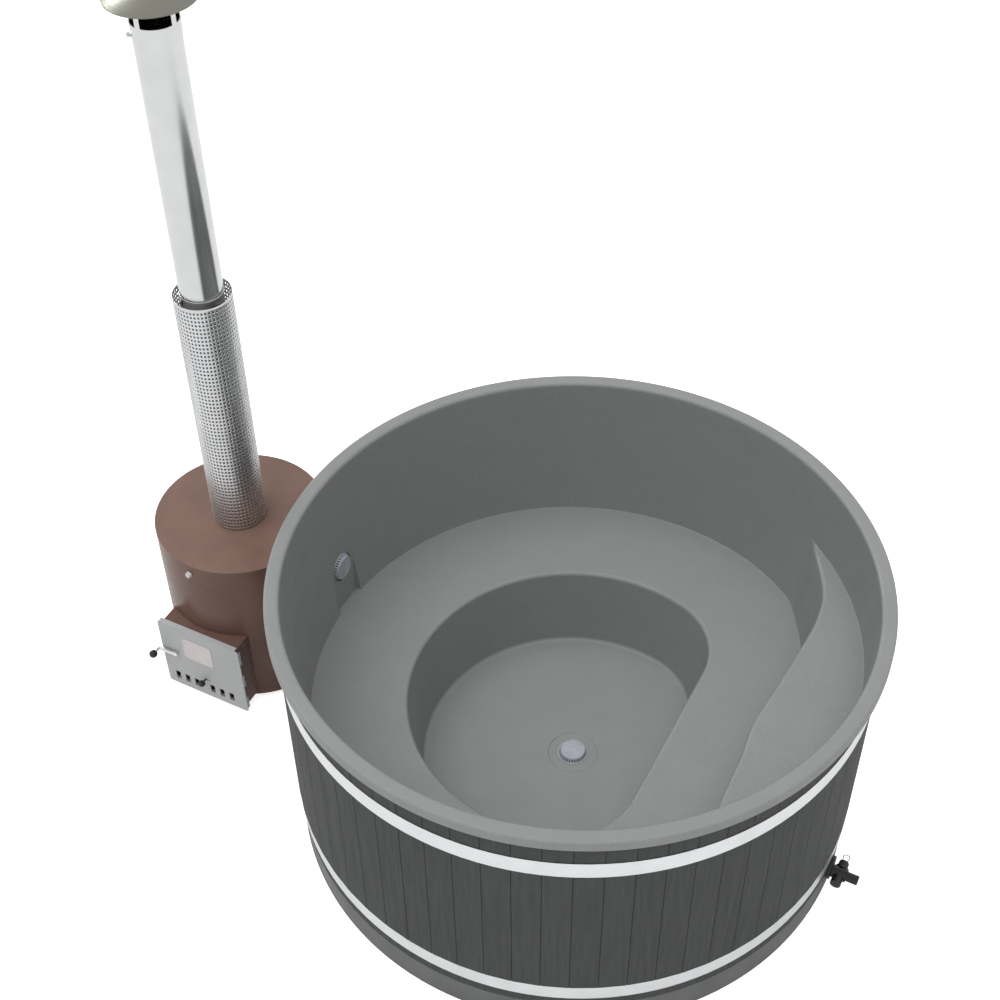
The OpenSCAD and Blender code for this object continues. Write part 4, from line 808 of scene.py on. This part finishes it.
class HOTTUB_OT_fire_door(bpy.types.Operator):
    """Finishes the fire door with its slide, plate and handle"""

    bl_idname = "hottub.fire_door"
    bl_label = "Finish the fire door"

    def execute(self, context):
        colours = context.scene.hot_tub.colours
        dress(painted_steel("door_paint", colours.door, 0.40, 0.04), "fire_door", "slide_guides")
        dress(rope_seal("seal_rope", colours.seal), "door_seal")
        dress(steel_sheet("blank_plate", colours.plate, 0.45, (4.0, 4.0, 90.0)), "name_plate")
        dress(steel_sheet("slide_steel", colours.slide, 0.30, (6.0, 6.0, 6.0)), "air_slide", "latch_tongue")
        dress(moulded_plastic("ball_plastic", colours.black, 0.16), "air_slide_ball", "door_handle_ball")
        dress(steel_sheet("handle_steel", colours.handle, 0.20, (30.0, 30.0, 30.0)), "door_handle")
        return {"FINISHED"}


class HOTTUB_OT_chimney(bpy.types.Operator):
    """Finishes the flue pipes, the clips and the cap"""

    bl_idname = "hottub.chimney"
    bl_label = "Finish the chimney"

    def execute(self, context):
        colours = context.scene.hot_tub.colours
        flow = (1.2, 1.2, 0.3)
        dress(steel_sheet("flue_steel", colours.steel, 0.17, flow, 6.0, 0.05), "upper_flue", "cap_collar")
        dress(steel_sheet("sleeve_steel", colours.sleeve, 0.42, flow, 6.0), "lower_flue", "shield_clips")
        # The hat's material carries painted shade: its dark base colour stands in for a darker reflection.
        dress(steel_sheet("hat_steel", colours.hat, 0.34, (5.0, 5.0, 25.0), wear=0.04), "cap_hat")
        return {"FINISHED"}


class HOTTUB_OT_heat_shield(bpy.types.Operator):
    """Makes the perforated heat shield round the lower flue"""

    bl_idname = "hottub.heat_shield"
    bl_label = "Perforate the heat shield"

    def execute(self, context):
        settings = context.scene.hot_tub
        sizes = settings.stove
        low, high = SHIELD
        centre = (low + high) / 2
        radius = (high.x - low.x) / 2
        columns, rows = sizes.hole_columns, sizes.hole_rows
        step = (high.z - low.z - 2 * sizes.shield_border) / rows
        mesh = bmesh.new()
        bmesh.ops.create_grid(mesh, x_segments=columns, y_segments=rows, size=1.0)
        pitch = 2 * math.pi * radius / columns
        sheet = Matrix.Diagonal((math.pi * radius, rows * pitch / 2, 1.0, 1.0))
        bmesh.ops.transform(mesh, matrix=sheet, verts=mesh.verts)
        cells = mesh.faces[:]
        bmesh.ops.inset_individual(mesh, faces=cells, thickness=(pitch - sizes.hole_width) / 2,
                                   use_even_offset=True)
        corners = list(dict.fromkeys(vert for face in cells for vert in face.verts))
        bmesh.ops.bevel(mesh, geom=corners, offset=sizes.hole_corner * sizes.hole_width,
                        affect="VERTICES", segments=1, profile=0.5, material=-1)
        holes = [face for face in mesh.faces if len(face.verts) == 8]
        bmesh.ops.delete(mesh, geom=holes, context="FACES")
        bmesh.ops.transform(mesh, matrix=Matrix.Diagonal((1.0, step / pitch, 1.0, 1.0)), verts=mesh.verts)
        reach = rows * step / 2
        for end in (-1, 1):
            edge = [line for line in mesh.edges
                    if all(abs(vert.co.y - end * reach) < WELD for vert in line.verts)]
            made = bmesh.ops.extrude_edge_only(mesh, edges=edge)["geom"]
            grown = [part for part in made if isinstance(part, bmesh.types.BMVert)]
            bmesh.ops.translate(mesh, verts=grown, vec=(0.0, end * sizes.shield_border, 0.0))
        for vert in mesh.verts:
            angle = vert.co.x / radius
            vert.co = Vector((centre.x + radius * math.cos(angle), centre.y + radius * math.sin(angle),
                              centre.z + vert.co.y))
        bmesh.ops.remove_doubles(mesh, verts=mesh.verts, dist=2 * WELD)
        bmesh.ops.recalc_face_normals(mesh, faces=mesh.faces)
        material = steel_sheet("shield_steel", settings.colours.shield, 0.30, (6.0, 6.0, 1.0))
        piece = finish_piece(mesh, "perforated_shield", material, "heat_shield", 40.0)
        wall = piece.modifiers.new("sheet", "SOLIDIFY")
        wall.thickness = sizes.shield_sheet
        wall.offset = -1.0
        return {"FINISHED"}


# Stage

class HOTTUB_OT_stage(bpy.types.Operator):
    """Sets up the floor, the white surroundings, the key lamp and the camera"""

    bl_idname = "hottub.stage"
    bl_label = "Set the stage"

    def execute(self, context):
        stage = context.scene.hot_tub.stage
        self.floor(stage)
        self.surroundings(context.scene, stage)
        key = self.lamp("key_lamp", stage.key, stage.key_width, stage.key_from)
        key.visible_glossy = False
        glint = self.lamp("glint_lamp", stage.glint, stage.glint_width, stage.glint_from)
        glint.visible_diffuse = False
        self.camera(context.scene, stage)
        context.scene.view_settings.view_transform = "Standard"
        return {"FINISHED"}

    def lamp(self, name, energy, width, towards):
        """A distant lamp that shines from a direction and is so wide in the sky."""
        data = bpy.data.lights.new(name, "SUN")
        data.energy = energy
        data.angle = width
        sun = bpy.data.objects.new(name, data)
        sun.matrix_world = Vector(towards).to_track_quat("Z", "Y").to_matrix().to_4x4()
        bpy.context.scene.collection.objects.link(sun)
        return sun

    def seen(self, tree, direct, mirrored):
        """The value direct for camera rays, mirrored for glossy and transmission rays, else 0."""
        path = tree.nodes.new("ShaderNodeLightPath")
        total = None
        rays = (("Is Camera Ray", direct), ("Is Glossy Ray", mirrored), ("Is Transmission Ray", mirrored))
        for label, share in rays:
            add = tree.nodes.new("ShaderNodeMath")
            add.operation = "MULTIPLY_ADD"
            add.inputs[1].default_value = share
            add.inputs[2].default_value = 0.0
            tree.links.new(path.outputs[label], add.inputs[0])
            if total:
                tree.links.new(total, add.inputs[2])
            total = add.outputs[0]
        return total

    def floor(self, stage):
        """The pale floor, which keeps the tub's shadow and looks white in the picture."""
        mesh = bmesh.new()
        bmesh.ops.create_grid(mesh, x_segments=1, y_segments=1, size=stage.floor_size / 2)
        bmesh.ops.translate(mesh, verts=mesh.verts, vec=(0.0, 0.0, -stage.floor_drop))
        floor = to_object(mesh, "pale_floor")
        material = bpy.data.materials.new("pale_floor")
        material.use_nodes = True
        tree = material.node_tree
        shader = tree.nodes["Principled BSDF"]
        shader.inputs["Base Color"].default_value = (*[stage.floor_tone] * 3, 1.0)
        shader.inputs["Roughness"].default_value = 1.0
        shader.inputs["Specular IOR Level"].default_value = 0.0
        shader.inputs["Emission Color"].default_value = (1.0, 1.0, 1.0, 1.0)
        glow = self.seen(tree, stage.floor_lift, 1.0 - stage.floor_tone)
        tree.links.new(glow, shader.inputs["Emission Strength"])
        floor.data.materials.append(material)

    def surroundings(self, scene, stage):
        """A white world that lights the tub more softly than it looks."""
        world = scene.world or bpy.data.worlds.new("studio")
        scene.world = world
        world.use_nodes = True
        tree = world.node_tree
        tree.nodes.clear()
        light = tree.nodes.new("ShaderNodeBackground")
        light.inputs["Strength"].default_value = stage.ambient
        light.inputs["Color"].default_value = (1.0, 1.0, 1.0, 1.0)
        white = tree.nodes.new("ShaderNodeBackground")
        white.inputs["Color"].default_value = (1.0, 1.0, 1.0, 1.0)
        mix = tree.nodes.new("ShaderNodeMixShader")
        out = tree.nodes.new("ShaderNodeOutputWorld")
        tree.links.new(self.seen(tree, 1.0, 1.0), mix.inputs[0])
        tree.links.new(light.outputs[0], mix.inputs[1])
        tree.links.new(white.outputs[0], mix.inputs[2])
        tree.links.new(mix.outputs[0], out.inputs["Surface"])

    def camera(self, scene, stage):
        """The camera, placed as the photograph was taken."""
        yaw, pitch, roll = stage.camera_yaw, stage.camera_pitch, stage.camera_roll
        ahead = Vector((math.sin(yaw) * math.cos(pitch), math.cos(yaw) * math.cos(pitch), -math.sin(pitch)))
        right = Vector((math.cos(yaw), -math.sin(yaw), 0.0))
        down = ahead.cross(right)
        across = math.cos(roll) * right + math.sin(roll) * down
        below = -math.sin(roll) * right + math.cos(roll) * down
        data = bpy.data.cameras.new("photo_camera")
        data.lens = stage.camera_lens
        data.sensor_width = 36.0
        data.clip_end = 200.0
        camera = bpy.data.objects.new("photo_camera", data)
        turn = Matrix((across, -below, -ahead)).transposed().to_4x4()
        camera.matrix_world = Matrix.Translation(stage.camera_place) @ turn
        scene.collection.objects.link(camera)
        scene.camera = camera


PIECES = (HOTTUB_OT_liner, HOTTUB_OT_cladding, HOTTUB_OT_fittings, HOTTUB_OT_stove, HOTTUB_OT_fire_door,
          HOTTUB_OT_chimney, HOTTUB_OT_heat_shield, HOTTUB_OT_stage)


class HOTTUB_PT_panel(bpy.types.Panel):
    """Lists the hot tub's pieces and settings"""

    bl_idname = "HOTTUB_PT_panel"
    bl_label = "Hot Tub"
    bl_space_type = "VIEW_3D"
    bl_region_type = "UI"
    bl_category = "Hot Tub"

    def draw(self, context):
        settings = context.scene.hot_tub
        for group in (settings.tub, settings.stove, settings.colours, settings.stage):
            box = self.layout.box()
            for name in group.__annotations__:
                box.prop(group, name)
        for piece in PIECES:
            self.layout.operator(piece.bl_idname)


CLASSES = (TubSizes, StoveSizes, TubColours, StageSettings, HotTubSettings) + PIECES + (HOTTUB_PT_panel,)


def register():
    for cls in CLASSES:
        bpy.utils.register_class(cls)
    bpy.types.Scene.hot_tub = PointerProperty(type=HotTubSettings)


def unregister():
    del bpy.types.Scene.hot_tub
    for cls in reversed(CLASSES):
        bpy.utils.unregister_class(cls)


def main():
    register()
    for step in (bpy.ops.hottub.stage, bpy.ops.hottub.liner, bpy.ops.hottub.cladding,
                 bpy.ops.hottub.fittings, bpy.ops.hottub.stove, bpy.ops.hottub.fire_door,
                 bpy.ops.hottub.chimney, bpy.ops.hottub.heat_shield):
        step()


if __name__ == "__main__":
    main()
